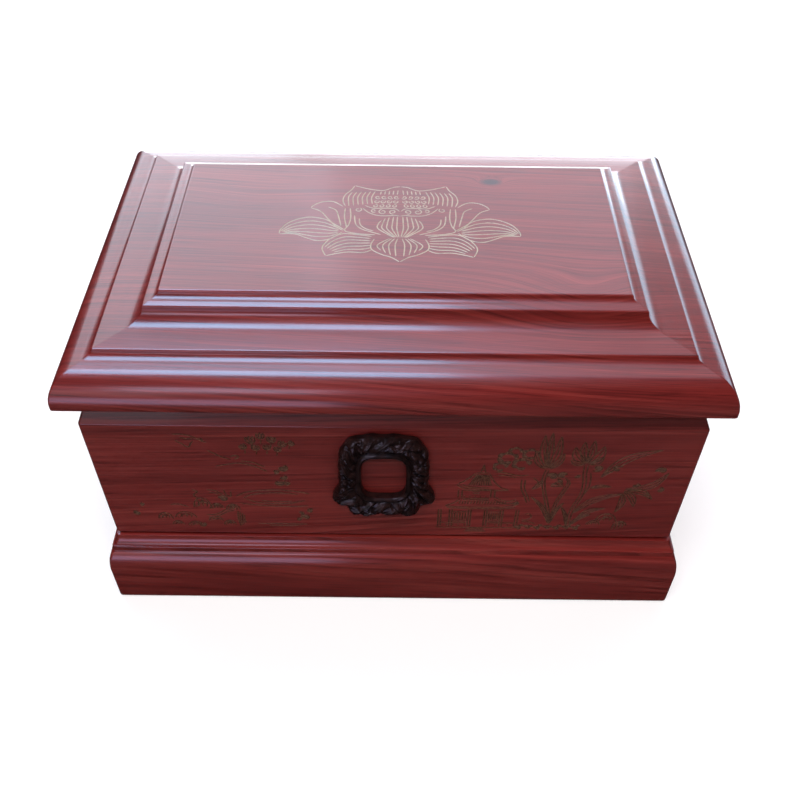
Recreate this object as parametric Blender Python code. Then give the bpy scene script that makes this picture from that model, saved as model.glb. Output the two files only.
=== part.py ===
"""Wooden keepsake urn box: a moulded plinth, a hollow mitred case and a routed lid that lifts off.

The frame of the part: metres, +Z up, front towards -Y, origin at the centre of the underside.
"""
import math

import bmesh
import bpy

# Case: four mitred boards that stand on the plinth
CASE_WIDTH = 0.2870
CASE_DEPTH = 0.1775
CASE_HEIGHT = 0.1000
WALL_THICKNESS = 0.0150
CASE_BEVEL_HEIGHT = 0.0150
CASE_BEVEL_DEPTH = 0.0065
CASE_FOOT_ROUND = 0.0025

# Plinth: four mitred lengths of moulding, from the floor upwards
PLINTH_FOOT_ROUND = 0.0015
PLINTH_FACE_HEIGHT = 0.0245
SHOULDER_RISE = 0.0050
SHOULDER_INSET = 0.0009
SLOPE_RISE = 0.0095
SLOPE_INSET = 0.0028
RISER_HEIGHT = 0.0034
CAP_COVE_RISE = 0.0066
CAP_COVE_INSET = 0.0030
CAP_LEDGE = 0.0008

# Bottom board, let in flush with the underside of the plinth
BOTTOM_THICKNESS = 0.0120
REBATE_WIDTH = 0.0080

# Lid: one board, its edge routed in steps that rise to a raised field
LID_OVERHANG = 0.0065
LID_EDGE_ROUND = 0.0012
NOSE_FLAT = 0.0015
NOSE_DEPTH = 0.0110
NOSE_RISE = 0.0145
QUIRK_DEPTH = 0.0019
QUIRK_RISE = 0.0004
LOWER_COVE_DEPTH = 0.0049
LOWER_COVE_RISE = 0.0033
BAND_DEPTH = 0.0117
BAND_RISE = 0.0008
MAIN_COVE_DEPTH = 0.0080
MAIN_COVE_RISE = 0.0073
LEDGE_DEPTH = 0.0027
LEDGE_RISE = 0.0006
UPPER_COVE_DEPTH = 0.0038
UPPER_COVE_RISE = 0.0030

# Locating tongue under the lid, which drops inside the case
TONGUE_DEPTH = 0.0050
TONGUE_CHAMFER = 0.0010
TONGUE_CLEARANCE = 0.0010

# Carved picture frame, glued to the front of the case just under its bevel
FRAME_CENTRE_X = -0.0048
FRAME_TOP_MARGIN = 0.0038
FRAME_OPENING_HALF_WIDTH = 0.0108
FRAME_OPENING_HALF_HEIGHT = 0.0150
FRAME_SIDE_BORDER = 0.0107
FRAME_TOP_BORDER = 0.0140
FRAME_THICKNESS = 0.0060
FRAME_EDGE_THICKNESS = 0.0022
FRAME_LIP_THICKNESS = 0.0044
FRAME_GROOVE_THICKNESS = 0.0030
FRAME_EAR = 0.0050
FRAME_FOOT = 0.0024

# Carving of the frame, as shares and angles in degrees away from straight down
OPENING_SQUARENESS = 4.0
OUTLINE_SQUARENESS = 3.6
EAR_ANGLE = 56
FOOT_ANGLE = 24
LOBE_SPREAD = 17
SCALLOPS = 18
SCALLOP_SHARE = 0.012
LIP_SHARE = 0.24
SCROLL_SHARE = 0.28
SCROLL_TURN = 2.5

# Gap kept between pieces that touch, and how finely arcs are cut
FIT_GAP = 0.0003
ROUND_STEPS = 3
COVE_STEPS = 5
NOSE_STEPS = 9
FRAME_ANGLE_STEPS = 108
FRAME_BAND_STEPS = 9

# Heights that follow from the sizes above
PLINTH_HEIGHT = PLINTH_FACE_HEIGHT + SHOULDER_RISE + SLOPE_RISE + RISER_HEIGHT + CAP_COVE_RISE
PLINTH_PROJECTION = CAP_LEDGE + CAP_COVE_INSET + SLOPE_INSET + SHOULDER_INSET
CASE_BASE_Z = PLINTH_HEIGHT + FIT_GAP
CASE_TOP_Z = CASE_BASE_Z + CASE_HEIGHT
LID_BASE_Z = CASE_TOP_Z + FIT_GAP
CASE_HALF_X = CASE_WIDTH / 2
CASE_HALF_Y = CASE_DEPTH / 2
MITRE_SETBACK = FIT_GAP / math.sqrt(2)
FRAME_HALF_WIDTH = FRAME_OPENING_HALF_WIDTH + FRAME_SIDE_BORDER
FRAME_HALF_HEIGHT = FRAME_OPENING_HALF_HEIGHT + FRAME_TOP_BORDER
FRAME_CENTRE_Z = CASE_TOP_Z - CASE_BEVEL_HEIGHT - FRAME_TOP_MARGIN - FRAME_HALF_HEIGHT

# Finishes as (red, green, blue, roughness)
LACQUERED_ROSEWOOD = (0.235, 0.048, 0.040, 0.28)
UNFINISHED_BOARD = (0.330, 0.170, 0.105, 0.60)
DARK_CARVING = (0.012, 0.008, 0.008, 0.22)


def clear_scene():
    """Remove every object that the file opened with."""
    for found in list(bpy.data.objects):
        bpy.data.objects.remove(found, do_unlink=True)


def make_material(name, finish):
    """A Principled material with one colour, for a non-metallic surface."""
    material = bpy.data.materials.new(name)
    material.use_nodes = True
    shader = material.node_tree.nodes["Principled BSDF"]
    shader.inputs["Base Color"].default_value = (*finish[:3], 1.0)
    shader.inputs["Roughness"].default_value = finish[3]
    shader.inputs["Metallic"].default_value = 0.0
    material.diffuse_color = (*finish[:3], 1.0)
    return material


def add_object(name, bm, finish):
    """Turn a finished bmesh into a named object with its own material and its normals outwards."""
    bmesh.ops.recalc_face_normals(bm, faces=bm.faces[:])
    mesh = bpy.data.meshes.new(name)
    bm.to_mesh(mesh)
    bm.free()
    mesh.materials.append(make_material(name + "_finish", finish))
    piece = bpy.data.objects.new(name, mesh)
    bpy.context.scene.collection.objects.link(piece)
    return piece


def arc(centre, radii, start, end, steps):
    """Points on an ellipse about centre, from one angle in degrees to another."""
    points = []
    for i in range(steps + 1):
        angle = math.radians(start + (end - start) * i / steps)
        points.append((centre[0] + radii[0] * math.cos(angle), centre[1] + radii[1] * math.sin(angle)))
    return points


def rectangle(bm, half_x, half_y, z):
    """Four vertices of a level rectangle about the Z axis."""
    corners = ((-half_x, -half_y), (half_x, -half_y), (half_x, half_y), (-half_x, half_y))
    return [bm.verts.new((x, y, z)) for x, y in corners]


def loft(bm, rings):
    """Join rings of equal length one after another, and cap the first and the last."""
    for lower, upper in zip(rings, rings[1:]):
        for i in range(len(lower)):
            j = (i + 1) % len(lower)
            bm.faces.new((lower[i], lower[j], upper[j], upper[i]))
    bm.faces.new(rings[0])
    bm.faces.new(rings[-1])


def cove(inset, height, depth, rise):
    """A hollow quarter round that starts level at its foot and climbs inwards."""
    return arc((inset, height + rise), (depth, rise), 270, 350, COVE_STEPS)


def lid_edge_profile():
    """The routed edge as (inset from the lid's edge, height over its underside), rising inwards."""
    edge = (LID_EDGE_ROUND, LID_EDGE_ROUND)
    points = arc(edge, edge, 270, 180, ROUND_STEPS)
    nose_base = LID_EDGE_ROUND + NOSE_FLAT
    points += arc((NOSE_DEPTH, nose_base), (NOSE_DEPTH, NOSE_RISE), 180, 90, NOSE_STEPS)
    inset = NOSE_DEPTH + QUIRK_DEPTH
    height = nose_base + NOSE_RISE + QUIRK_RISE
    points += cove(inset, height, LOWER_COVE_DEPTH, LOWER_COVE_RISE)
    inset += LOWER_COVE_DEPTH
    height += LOWER_COVE_RISE
    points.append((inset, height))
    inset += BAND_DEPTH
    height += BAND_RISE
    points += cove(inset, height, MAIN_COVE_DEPTH, MAIN_COVE_RISE)
    inset += MAIN_COVE_DEPTH
    height += MAIN_COVE_RISE
    points.append((inset, height))
    inset += LEDGE_DEPTH
    height += LEDGE_RISE
    points += cove(inset, height, UPPER_COVE_DEPTH, UPPER_COVE_RISE)
    inset += UPPER_COVE_DEPTH
    height += UPPER_COVE_RISE
    points.append((inset, height))
    return points


def build_lid():
    """One routed board: tongue, flat underside, rounded nose, coves and raised field."""
    bm = bmesh.new()
    lid_x = CASE_HALF_X + LID_OVERHANG
    lid_y = CASE_HALF_Y + LID_OVERHANG
    tongue_inset = WALL_THICKNESS + TONGUE_CLEARANCE
    tongue_x = CASE_HALF_X - tongue_inset
    tongue_y = CASE_HALF_Y - tongue_inset
    tongue_z = LID_BASE_Z - TONGUE_DEPTH
    rings = [
        rectangle(bm, tongue_x - TONGUE_CHAMFER, tongue_y - TONGUE_CHAMFER, tongue_z),
        rectangle(bm, tongue_x, tongue_y, tongue_z + TONGUE_CHAMFER),
        rectangle(bm, tongue_x, tongue_y, LID_BASE_Z),
    ]
    for inset, height in lid_edge_profile():
        rings.append(rectangle(bm, lid_x - inset, lid_y - inset, LID_BASE_Z + height))
    loft(bm, rings)
    return add_object("lid", bm, LACQUERED_ROSEWOOD)


def wall_section():
    """A case board's closed section as (distance out from the case's face, height)."""
    foot = CASE_FOOT_ROUND
    outer = arc((-foot, CASE_BASE_Z + foot), (foot, foot), 270, 360, ROUND_STEPS)
    return outer + [
        (0.0, CASE_TOP_Z - CASE_BEVEL_HEIGHT),
        (-CASE_BEVEL_DEPTH, CASE_TOP_Z),
        (-WALL_THICKNESS, CASE_TOP_Z),
        (-WALL_THICKNESS, CASE_BASE_Z),
    ]


def plinth_section():
    """The plinth moulding's closed section, with a rebate for the bottom board."""
    out = PLINTH_PROJECTION
    foot = PLINTH_FOOT_ROUND
    points = arc((out - foot, foot), (foot, foot), 270, 360, ROUND_STEPS)
    height = PLINTH_FACE_HEIGHT
    points += arc((out - SHOULDER_INSET, height), (SHOULDER_INSET, SHOULDER_RISE), 0, 60, COVE_STEPS)
    height += SHOULDER_RISE
    out -= SHOULDER_INSET + SLOPE_INSET
    height += SLOPE_RISE
    points.append((out, height))
    height += RISER_HEIGHT
    points.append((out, height))
    points += arc((out, PLINTH_HEIGHT), (-CAP_COVE_INSET, -CAP_COVE_RISE), 75, 0, COVE_STEPS)
    board_seat = -(WALL_THICKNESS - REBATE_WIDTH)
    points += [
        (-WALL_THICKNESS, PLINTH_HEIGHT),
        (-WALL_THICKNESS, BOTTOM_THICKNESS + FIT_GAP),
        (board_seat, BOTTOM_THICKNESS + FIT_GAP),
        (board_seat, 0.0),
    ]
    return points


def build_mitred_length(name, section, side):
    """One of the four lengths around the case, its ends cut at 45 degrees."""
    bm = bmesh.new()
    ends = []
    for direction in (-1, 1):
        ring = []
        for out, z in section:
            if side in ("front", "back"):
                facing = -1 if side == "front" else 1
                x = direction * (CASE_HALF_X + out - MITRE_SETBACK)
                y = facing * (CASE_HALF_Y + out)
            else:
                facing = -1 if side == "left" else 1
                x = facing * (CASE_HALF_X + out)
                y = direction * (CASE_HALF_Y + out - MITRE_SETBACK)
            ring.append(bm.verts.new((x, y, z)))
        ends.append(ring)
    loft(bm, ends)
    return add_object(name, bm, LACQUERED_ROSEWOOD)


def build_bottom_board():
    """The board let into the plinth's rebate, flush with its underside."""
    bm = bmesh.new()
    margin = WALL_THICKNESS - REBATE_WIDTH + FIT_GAP
    half_x = CASE_HALF_X - margin
    half_y = CASE_HALF_Y - margin
    loft(bm, [rectangle(bm, half_x, half_y, 0.0), rectangle(bm, half_x, half_y, BOTTOM_THICKNESS)])
    return add_object("bottom_board", bm, UNFINISHED_BOARD)


def rounded_radius(angle, half_width, half_height, power):
    """Distance from the centre to a superellipse, a rectangle with full round corners."""
    across = abs(math.cos(angle) / half_width) ** power
    up = abs(math.sin(angle) / half_height) ** power
    return (across + up) ** (-1 / power)


def lobe(angle, centre, half_spread):
    """A smooth bump of height 1 at one angle, in degrees, that fades to nothing."""
    away = (math.degrees(angle) - centre + 180) % 360 - 180
    if abs(away) >= half_spread:
        return 0.0
    return math.cos(math.radians(90 * away / half_spread)) ** 2


def frame_outer_radius(angle):
    """The carved outline: a rounded rectangle with scalloped edge, ears and two foot lobes."""
    radius = rounded_radius(angle, FRAME_HALF_WIDTH, FRAME_HALF_HEIGHT, OUTLINE_SQUARENESS)
    for mirror in (1, -1):
        radius += FRAME_EAR * lobe(angle, 270 + mirror * EAR_ANGLE, LOBE_SPREAD)
        radius += FRAME_FOOT * lobe(angle, 270 + mirror * FOOT_ANGLE, LOBE_SPREAD)
    return radius * (1 + SCALLOP_SHARE * math.cos(SCALLOPS * angle))


def frame_height(angle, across):
    """Thickness of the carving, from the opening's edge at 0 to the outer edge at 1."""
    if across <= LIP_SHARE:
        bead = math.sin(math.pi * (0.12 + 0.88 * across / LIP_SHARE))
        return FRAME_GROOVE_THICKNESS + (FRAME_LIP_THICKNESS - FRAME_GROOVE_THICKNESS) * bead
    band = (across - LIP_SHARE) / (1 - LIP_SHARE)
    swell = max(0.0, math.sin(math.pi * band)) ** 0.7
    scroll = 1 - SCROLL_SHARE * (1 - math.cos(SCALLOPS * angle + SCROLL_TURN * math.pi * band))
    floor = FRAME_GROOVE_THICKNESS + (FRAME_EDGE_THICKNESS - FRAME_GROOVE_THICKNESS) * band
    return floor + (FRAME_THICKNESS - floor) * swell * scroll


def build_carved_frame():
    """A ring carved with lobed leaves, flat at the back, with a smooth lip round its opening."""
    bm = bmesh.new()
    back_y = -(CASE_HALF_Y + FIT_GAP)
    columns = []
    for i in range(FRAME_ANGLE_STEPS):
        angle = 2 * math.pi * i / FRAME_ANGLE_STEPS
        inner = rounded_radius(
            angle, FRAME_OPENING_HALF_WIDTH, FRAME_OPENING_HALF_HEIGHT, OPENING_SQUARENESS
        )
        outer = frame_outer_radius(angle)
        section = [(inner, 0.0)]
        for k in range(FRAME_BAND_STEPS + 1):
            across = k / FRAME_BAND_STEPS
            section.append((inner + (outer - inner) * across, frame_height(angle, across)))
        section.append((outer, 0.0))
        column = []
        for radius, height in section:
            x = FRAME_CENTRE_X + radius * math.cos(angle)
            z = FRAME_CENTRE_Z + radius * math.sin(angle)
            column.append(bm.verts.new((x, back_y - height, z)))
        columns.append(column)
    for i, column in enumerate(columns):
        following = columns[(i + 1) % len(columns)]
        for k in range(len(column)):
            m = (k + 1) % len(column)
            bm.faces.new((column[k], column[m], following[m], following[k]))
    return add_object("carved_frame", bm, DARK_CARVING)


def main():
    clear_scene()
    build_lid()
    for side in ("front", "back", "left", "right"):
        build_mitred_length("case_" + side, wall_section(), side)
        build_mitred_length("plinth_" + side, plinth_section(), side)
    build_bottom_board()
    build_carved_frame()


main()
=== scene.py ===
"""Lacquered rosewood keepsake urn box: looks, studio and camera, laid out as an add-on."""
import math

import bmesh
import bpy
import numpy as np
from bpy.props import FloatProperty, FloatVectorProperty, PointerProperty
from bpy.types import Operator, Panel, PropertyGroup
from mathutils import Matrix, Vector
from mathutils import noise as solid_noise
from mathutils.geometry import delaunay_2d_cdt


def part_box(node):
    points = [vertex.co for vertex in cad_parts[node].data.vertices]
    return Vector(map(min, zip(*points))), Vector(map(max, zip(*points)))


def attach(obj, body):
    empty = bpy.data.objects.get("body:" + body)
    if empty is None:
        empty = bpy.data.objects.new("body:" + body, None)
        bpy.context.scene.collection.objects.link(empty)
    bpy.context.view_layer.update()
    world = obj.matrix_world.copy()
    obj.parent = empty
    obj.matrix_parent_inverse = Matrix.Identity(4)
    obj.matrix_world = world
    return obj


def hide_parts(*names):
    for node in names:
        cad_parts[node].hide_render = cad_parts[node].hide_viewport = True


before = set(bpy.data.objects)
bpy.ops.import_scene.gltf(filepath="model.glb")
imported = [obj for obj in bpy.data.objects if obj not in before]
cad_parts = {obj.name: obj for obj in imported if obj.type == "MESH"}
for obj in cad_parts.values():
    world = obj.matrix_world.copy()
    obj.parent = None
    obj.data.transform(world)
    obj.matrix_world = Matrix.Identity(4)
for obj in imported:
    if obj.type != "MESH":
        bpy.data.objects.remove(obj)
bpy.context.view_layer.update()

bl_info = {
    "name": "Keepsake urn box",
    "version": (1, 0, 0),
    "blender": (4, 5, 0),
    "location": "View3D > Sidebar > Urn box",
    "description": "Builds a lacquered rosewood urn box with a gilt lotus and an engraved garden",
    "category": "Object",
}

BODY = "root"
MM = 0.001

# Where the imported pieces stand, and the gap over the bottom board
LID_LOW, LID_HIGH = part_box("lid")
CASE_LOW, CASE_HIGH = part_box("case_front")
PLINTH_LOW, PLINTH_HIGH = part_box("plinth_front")
CARVING_LOW, CARVING_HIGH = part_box("carved_frame")
BOARD_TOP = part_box("bottom_board")[1].z
CASE_HALF_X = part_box("case_right")[1].x
CASE_HALF_Y = -CASE_LOW.y
PLINTH_HALF_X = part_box("plinth_right")[1].x
BOARD_GAP = 0.0003


def length(name, description, default):
    """A length property in metres, shown in the scene's unit."""
    return FloatProperty(name=name, description=description, default=default, min=0.0, unit="LENGTH",
                         precision=5)


def colour(name, description, default):
    """A colour property in linear light."""
    return FloatVectorProperty(name=name, description=description, default=default, size=3,
                               min=0.0, max=1.0, subtype="COLOR")


def share(name, description, default):
    """A property between 0 and 1."""
    return FloatProperty(name=name, description=description, default=default, min=0.0, max=1.0,
                         subtype="FACTOR")


def glow(name, description, default):
    """A brightness property."""
    return FloatProperty(name=name, description=description, default=default, min=0.0)


class UrnLidSizes(PropertyGroup):
    """The routed edge of the lid, from its underside to the raised field."""

    corner_round: length("Corner", "Radius of the lid's four corners in plan", 0.0009)
    arris: length("Arris", "Rounding of every sharp line along the moulding", 0.00035)
    bead: length("Bead", "Radius of the rounded edge over each hollow", 0.0011)
    edge_round: length("Edge round", "Rounding of the lower edge", 0.0012)
    nose_flat: length("Nose flat", "Straight part under the nose", 0.0015)
    nose_depth: length("Nose depth", "How far the nose curves inwards", 0.0110)
    nose_rise: length("Nose rise", "How high the nose climbs", 0.0145)
    quirk_depth: length("Quirk depth", "Width of the flat line over the nose", 0.0019)
    quirk_rise: length("Quirk rise", "Rise of the flat line over the nose", 0.0004)
    lower_cove_depth: length("Lower cove depth", "Depth of the first hollow", 0.0049)
    lower_cove_rise: length("Lower cove rise", "Rise of the first hollow", 0.0033)
    band_depth: length("Band depth", "Width of the flat band", 0.0117)
    band_rise: length("Band rise", "Rise across the flat band", 0.0008)
    main_cove_depth: length("Main cove depth", "Depth of the large hollow", 0.0080)
    main_cove_rise: length("Main cove rise", "Rise of the large hollow", 0.0073)
    ledge_depth: length("Ledge depth", "Width of the line over the large hollow", 0.0027)
    ledge_rise: length("Ledge rise", "Rise of the line over the large hollow", 0.0006)
    upper_cove_depth: length("Upper cove depth", "Depth of the top hollow", 0.0038)
    upper_cove_rise: length("Upper cove rise", "Rise of the top hollow", 0.0030)
    tongue_depth: length("Tongue", "Depth of the tongue under the lid", 0.0050)
    tongue_inset: length("Tongue inset", "Tongue's distance in from the case's face", 0.0160)
    tongue_chamfer: length("Tongue chamfer", "Chamfer round the foot of the tongue", 0.0010)


class UrnCaseSizes(PropertyGroup):
    """The four boards of the case and the plinth's moulding."""

    wall: length("Wall", "Thickness of the boards", 0.0150)
    bevel_height: length("Bevel height", "Height of the sloped band under the lid", 0.0150)
    bevel_depth: length("Bevel depth", "How far the sloped band leans in", 0.0065)
    foot_round: length("Foot round", "Rounding where the case meets the plinth", 0.0025)
    corner_round: length("Corner", "Radius of the case's upright corners", 0.0012)
    arris: length("Arris", "Rounding of the sharp lines along the boards", 0.0005)
    mitre_gap: length("Mitre gap", "Seam between two boards at a corner", 0.00012)
    plinth_arris: length("Plinth arris", "Rounding of the sharp lines along the plinth", 0.0006)
    plinth_foot: length("Plinth foot", "Rounding of the plinth's foot", 0.0015)
    plinth_face: length("Plinth face", "Height of the plinth's upright face", 0.0245)
    shoulder_rise: length("Shoulder rise", "Height of the plinth's rounded shoulder", 0.0050)
    shoulder_inset: length("Shoulder inset", "Depth of the plinth's rounded shoulder", 0.0009)
    slope_rise: length("Slope rise", "Height of the plinth's slope", 0.0095)
    slope_inset: length("Slope inset", "Depth of the plinth's slope", 0.0028)
    riser: length("Riser", "Height of the upright line over the slope", 0.0034)
    cap_rise: length("Cap rise", "Height of the hollow under the case", 0.0066)
    cap_inset: length("Cap inset", "Depth of the hollow under the case", 0.0030)
    rebate: length("Rebate", "Width of the step that holds the bottom board", 0.0080)
    plinth_corner: length("Plinth corner", "Radius of the plinth's corners in plan", 0.0016)


class UrnCarvingSizes(PropertyGroup):
    """The carved frame and the lines cut into the wood."""

    opening_half_width: length("Opening half width", "Half the picture opening's width", 0.0108)
    opening_half_height: length("Opening half height", "Half the picture opening's height", 0.0150)
    side_border: length("Side border", "Width of the carving beside the opening", 0.0107)
    top_border: length("Top border", "Width of the carving over the opening", 0.0140)
    relief: length("Relief", "Greatest thickness of the carving", 0.0060)
    lip: length("Lip", "Thickness of the smooth lip round the opening", 0.0044)
    gilt_line: length("Gilt line", "Half the width of a gilt line on the lid", 0.00031)
    gilt_slope: FloatProperty(name="Gilt slope", description="Depth of a gilt line over half its width",
                              default=0.30, min=0.1, max=2.0)
    cut_line: length("Cut line", "Half the width of a cut line on the front", 0.00040)
    cut_slope: FloatProperty(name="Cut slope", description="Depth of a cut over half its width",
                             default=0.95, min=0.1, max=2.0)


class UrnFinish(PropertyGroup):
    """Colours and gloss."""

    wood_dark: colour("Dark grain", "The darkest lines of the rosewood", (0.060, 0.0055, 0.0052))
    wood_mid: colour("Rosewood", "The main colour of the rosewood", (0.158, 0.0135, 0.0112))
    wood_light: colour("Light grain", "The lightest bands of the rosewood", (0.275, 0.0340, 0.0250))
    gilt: colour("Gilt", "The paint in the lotus lines", (0.350, 0.280, 0.195))
    knot: colour("Knot", "The eye of the knot in the lid", (0.022, 0.010, 0.012))
    cut_dark: colour("Cut, dark", "The darkest flecks in a cut line", (0.042, 0.015, 0.009))
    cut_light: colour("Cut, light", "The lightest flecks in a cut line", (0.125, 0.052, 0.030))
    carving: colour("Carving", "The near black of the carved frame", (0.0060, 0.0028, 0.0028))
    carving_worn: colour("Worn carving", "The browner patches on the carved frame", (0.024, 0.0080, 0.0072))
    raw_wood: colour("Raw board", "The unfinished bottom board", (0.360, 0.200, 0.120))
    floor: colour("Floor", "The studio floor", (0.70, 0.70, 0.70))
    gloss: share("Lacquer", "Strength of the lacquer coat", 0.75)
    lacquer_roughness: share("Lacquer roughness", "How soft reflections are in the lacquer", 0.17)


class UrnStage(PropertyGroup):
    """Camera and lights."""

    camera_place: FloatVectorProperty(name="Camera", description="Place of the camera", size=3,
                                      default=(0.00197, -0.36466, 0.44680), unit="LENGTH")
    camera_pitch: FloatProperty(name="Pitch", description="How far the camera looks down",
                                default=math.radians(46.803), subtype="ANGLE")
    camera_yaw: FloatProperty(name="Yaw", description="Turn of the camera to the left",
                              default=math.radians(-0.118), subtype="ANGLE")
    camera_roll: FloatProperty(name="Roll", description="Tilt of the camera about its view",
                               default=math.radians(0.728), subtype="ANGLE")
    camera_lens: FloatProperty(name="Lens", description="Focal length in millimetres", default=41.37)
    sky_glow: glow("Skylight", "Brightness of the light overhead", 12.0)
    ceiling_glow: glow("Ceiling", "Brightness of the ceiling over the back", 1.3)
    top_glow: glow("Top", "Brightness of the soft light over the front", 8.0)
    window_glow: glow("Window", "Brightness of the window behind, on the left", 2.9)
    wall_glow: glow("Wall", "Brightness of the wall behind, on the right", 1.8)
    side_glow: glow("Side", "Brightness of the window on the right", 3.6)
    fill_glow: glow("Fill", "Brightness on the left in front", 0.7)
    front_glow: glow("Front window", "Brightness of the window in front", 4.6)
    horizon_glow: glow("Horizon", "Brightness low behind the box", 7.0)
    sheen_glow: glow("Sheen", "Brightness of the low card in front", 3.0)
    room_light: glow("Room", "Strength of the light from all round", 0.20)
    floor_glow: glow("Floor glow", "Light that the floor gives of its own", 0.31)


# Modelling helpers

CORNER_STEPS = 3
MERGE = 0.000005
SMOOTH_ANGLE = math.radians(28)
LEVEL = 0.99999


def deselect_all():
    """Leave edit mode and select nothing, so that an operator acts on its own piece alone."""
    if bpy.context.mode != "OBJECT":
        bpy.ops.object.mode_set(mode="OBJECT")
    bpy.ops.object.select_all(action="DESELECT")


def focus(piece):
    """Make one piece the only selected one."""
    deselect_all()
    piece.select_set(True)
    bpy.context.view_layer.objects.active = piece


def select_where(piece, kind, test):
    """In edit mode, select the vertices, edges or faces that pass a test."""
    bpy.ops.mesh.select_mode(type=kind)
    bpy.ops.mesh.select_all(action="DESELECT")
    bm = bmesh.from_edit_mesh(piece.data)
    group = {"VERT": bm.verts, "EDGE": bm.edges, "FACE": bm.faces}[kind]
    for element in group:
        if test(element):
            element.select_set(True)
    bm.select_flush_mode()
    bmesh.update_edit_mesh(piece.data)


def start_slab(name, half_x, half_y, z, corner):
    """A level rectangle with round corners, in edit mode and selected, ready to be extruded."""
    deselect_all()
    bpy.ops.mesh.primitive_plane_add(size=2.0, location=(0.0, 0.0, z))
    piece = bpy.context.object
    piece.name = name
    piece.data.name = name
    bpy.ops.object.transform_apply(location=True)
    bpy.ops.object.mode_set(mode="EDIT")
    bpy.ops.transform.resize(value=(half_x, half_y, 1.0), center_override=(0.0, 0.0, z))
    bpy.ops.mesh.select_mode(type="VERT")
    bpy.ops.mesh.select_all(action="SELECT")
    bpy.ops.mesh.bevel(offset=corner, segments=CORNER_STEPS, affect="VERTICES")
    bpy.ops.mesh.select_mode(type="FACE")
    bpy.ops.mesh.select_all(action="SELECT")
    return piece


def raise_rings(rings):
    """Extrude the selected face through rings of (half x, half y, z), each a new step."""
    half_x, half_y, z = rings[0]
    for next_x, next_y, next_z in rings[1:]:
        bpy.ops.mesh.extrude_region_move(TRANSFORM_OT_translate={"value": (0.0, 0.0, next_z - z)})
        bpy.ops.transform.resize(value=(next_x / half_x, next_y / half_y, 1.0),
                                 center_override=(0.0, 0.0, next_z))
        half_x, half_y, z = next_x, next_y, next_z


def face_outwards(piece):
    """Merge doubles and turn every face outwards, in edit mode."""
    bpy.ops.mesh.select_all(action="SELECT")
    bpy.ops.mesh.remove_doubles(threshold=MERGE)
    bpy.ops.mesh.normals_make_consistent(inside=False)


def settle(piece, replaced, materials, facing=None):
    """Put the piece's place in its mesh, dress it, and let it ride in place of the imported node.

    An engraved face and its grooves stay flat shaded, so that shallow lines keep crisp edges.
    """
    focus(piece)
    bpy.ops.object.transform_apply(location=True, rotation=True, scale=True)
    bpy.ops.object.shade_smooth_by_angle(angle=SMOOTH_ANGLE)
    if facing is not None:
        for face in piece.data.polygons:
            if face.material_index == 1 or face.normal.dot(facing) > LEVEL:
                face.use_smooth = False
    for material in materials:
        piece.data.materials.append(material)
    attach(piece, BODY)
    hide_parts(replaced)


# Profiles

SOFTEN_FROM = math.radians(20)
SOFTEN_STEPS = 3
SOFTEN_TURN_SHARE = 1.4
SOFTEN_LEAST_SHARE = 0.2
SOFTEN_LIMIT = 0.45
COVE_STEPS = 9
BEAD_STEPS = 5
EDGE_STEPS = 5
NOSE_STEPS = 16
SHOULDER_STEPS = 14
SHOULDER_TURN = 78
CAP_TURN = 75


def arc(centre, radii, start, end, steps):
    """Points on an ellipse about centre, from one angle in degrees to another."""
    points = []
    for i in range(steps + 1):
        angle = math.radians(start + (end - start) * i / steps)
        points.append((centre[0] + radii[0] * math.cos(angle), centre[1] + radii[1] * math.sin(angle)))
    return points


def soften(points, radius):
    """Round every sharp corner of an open profile with a short arc."""
    softened = [points[0]]
    for before, corner, after in zip(points, points[1:], points[2:]):
        p, c, n = Vector(before), Vector(corner), Vector(after)
        into, out = c - p, n - c
        turn = into.angle(out, 0.0)
        if turn < SOFTEN_FROM:
            softened.append(corner)
            continue
        wanted = radius * (math.tan(turn / 2) * SOFTEN_TURN_SHARE + SOFTEN_LEAST_SHARE)
        reach = min(wanted, into.length * SOFTEN_LIMIT, out.length * SOFTEN_LIMIT)
        start = c - into.normalized() * reach
        end = c + out.normalized() * reach
        for i in range(SOFTEN_STEPS + 1):
            t = i / SOFTEN_STEPS
            point = start * (1 - t) ** 2 + c * 2 * t * (1 - t) + end * t ** 2
            softened.append((point.x, point.y))
    softened.append(points[-1])
    return softened


def lid_profile(sizes):
    """The routed edge as (inset, height over the underside), from the lower edge to the field."""
    edge = (sizes.edge_round, sizes.edge_round)
    points = arc(edge, edge, 270, 180, EDGE_STEPS)
    base = sizes.edge_round + sizes.nose_flat
    points += arc((sizes.nose_depth, base), (sizes.nose_depth, sizes.nose_rise), 180, 90, NOSE_STEPS)
    inset = sizes.nose_depth + sizes.quirk_depth
    height = base + sizes.nose_rise + sizes.quirk_rise
    steps = (
        (sizes.lower_cove_depth, sizes.lower_cove_rise, sizes.band_depth, sizes.band_rise),
        (sizes.main_cove_depth, sizes.main_cove_rise, sizes.ledge_depth, sizes.ledge_rise),
        (sizes.upper_cove_depth, sizes.upper_cove_rise, 0.0, 0.0),
    )
    for depth, rise, flat, climb in steps:
        hollow = rise - sizes.bead
        points += arc((inset, height + hollow), (depth, hollow), 270, 360, COVE_STEPS)
        inset += depth
        height += rise
        bead = arc((inset + sizes.bead, height - sizes.bead), (sizes.bead, sizes.bead), 180, 90, BEAD_STEPS)
        points += bead[1:]
        inset += flat
        height += climb
    return soften(points, sizes.arris)


def case_profile(sizes):
    """The case's face as (distance out from it, height), from the foot to the top."""
    foot = sizes.foot_round
    low, high = CASE_LOW.z, CASE_HIGH.z
    points = arc((-foot, low + foot), (foot, foot), 270, 360, EDGE_STEPS)
    points += [(0.0, high - sizes.bevel_height), (-sizes.bevel_depth, high), (-sizes.wall, high)]
    return soften(points, sizes.arris)


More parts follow.
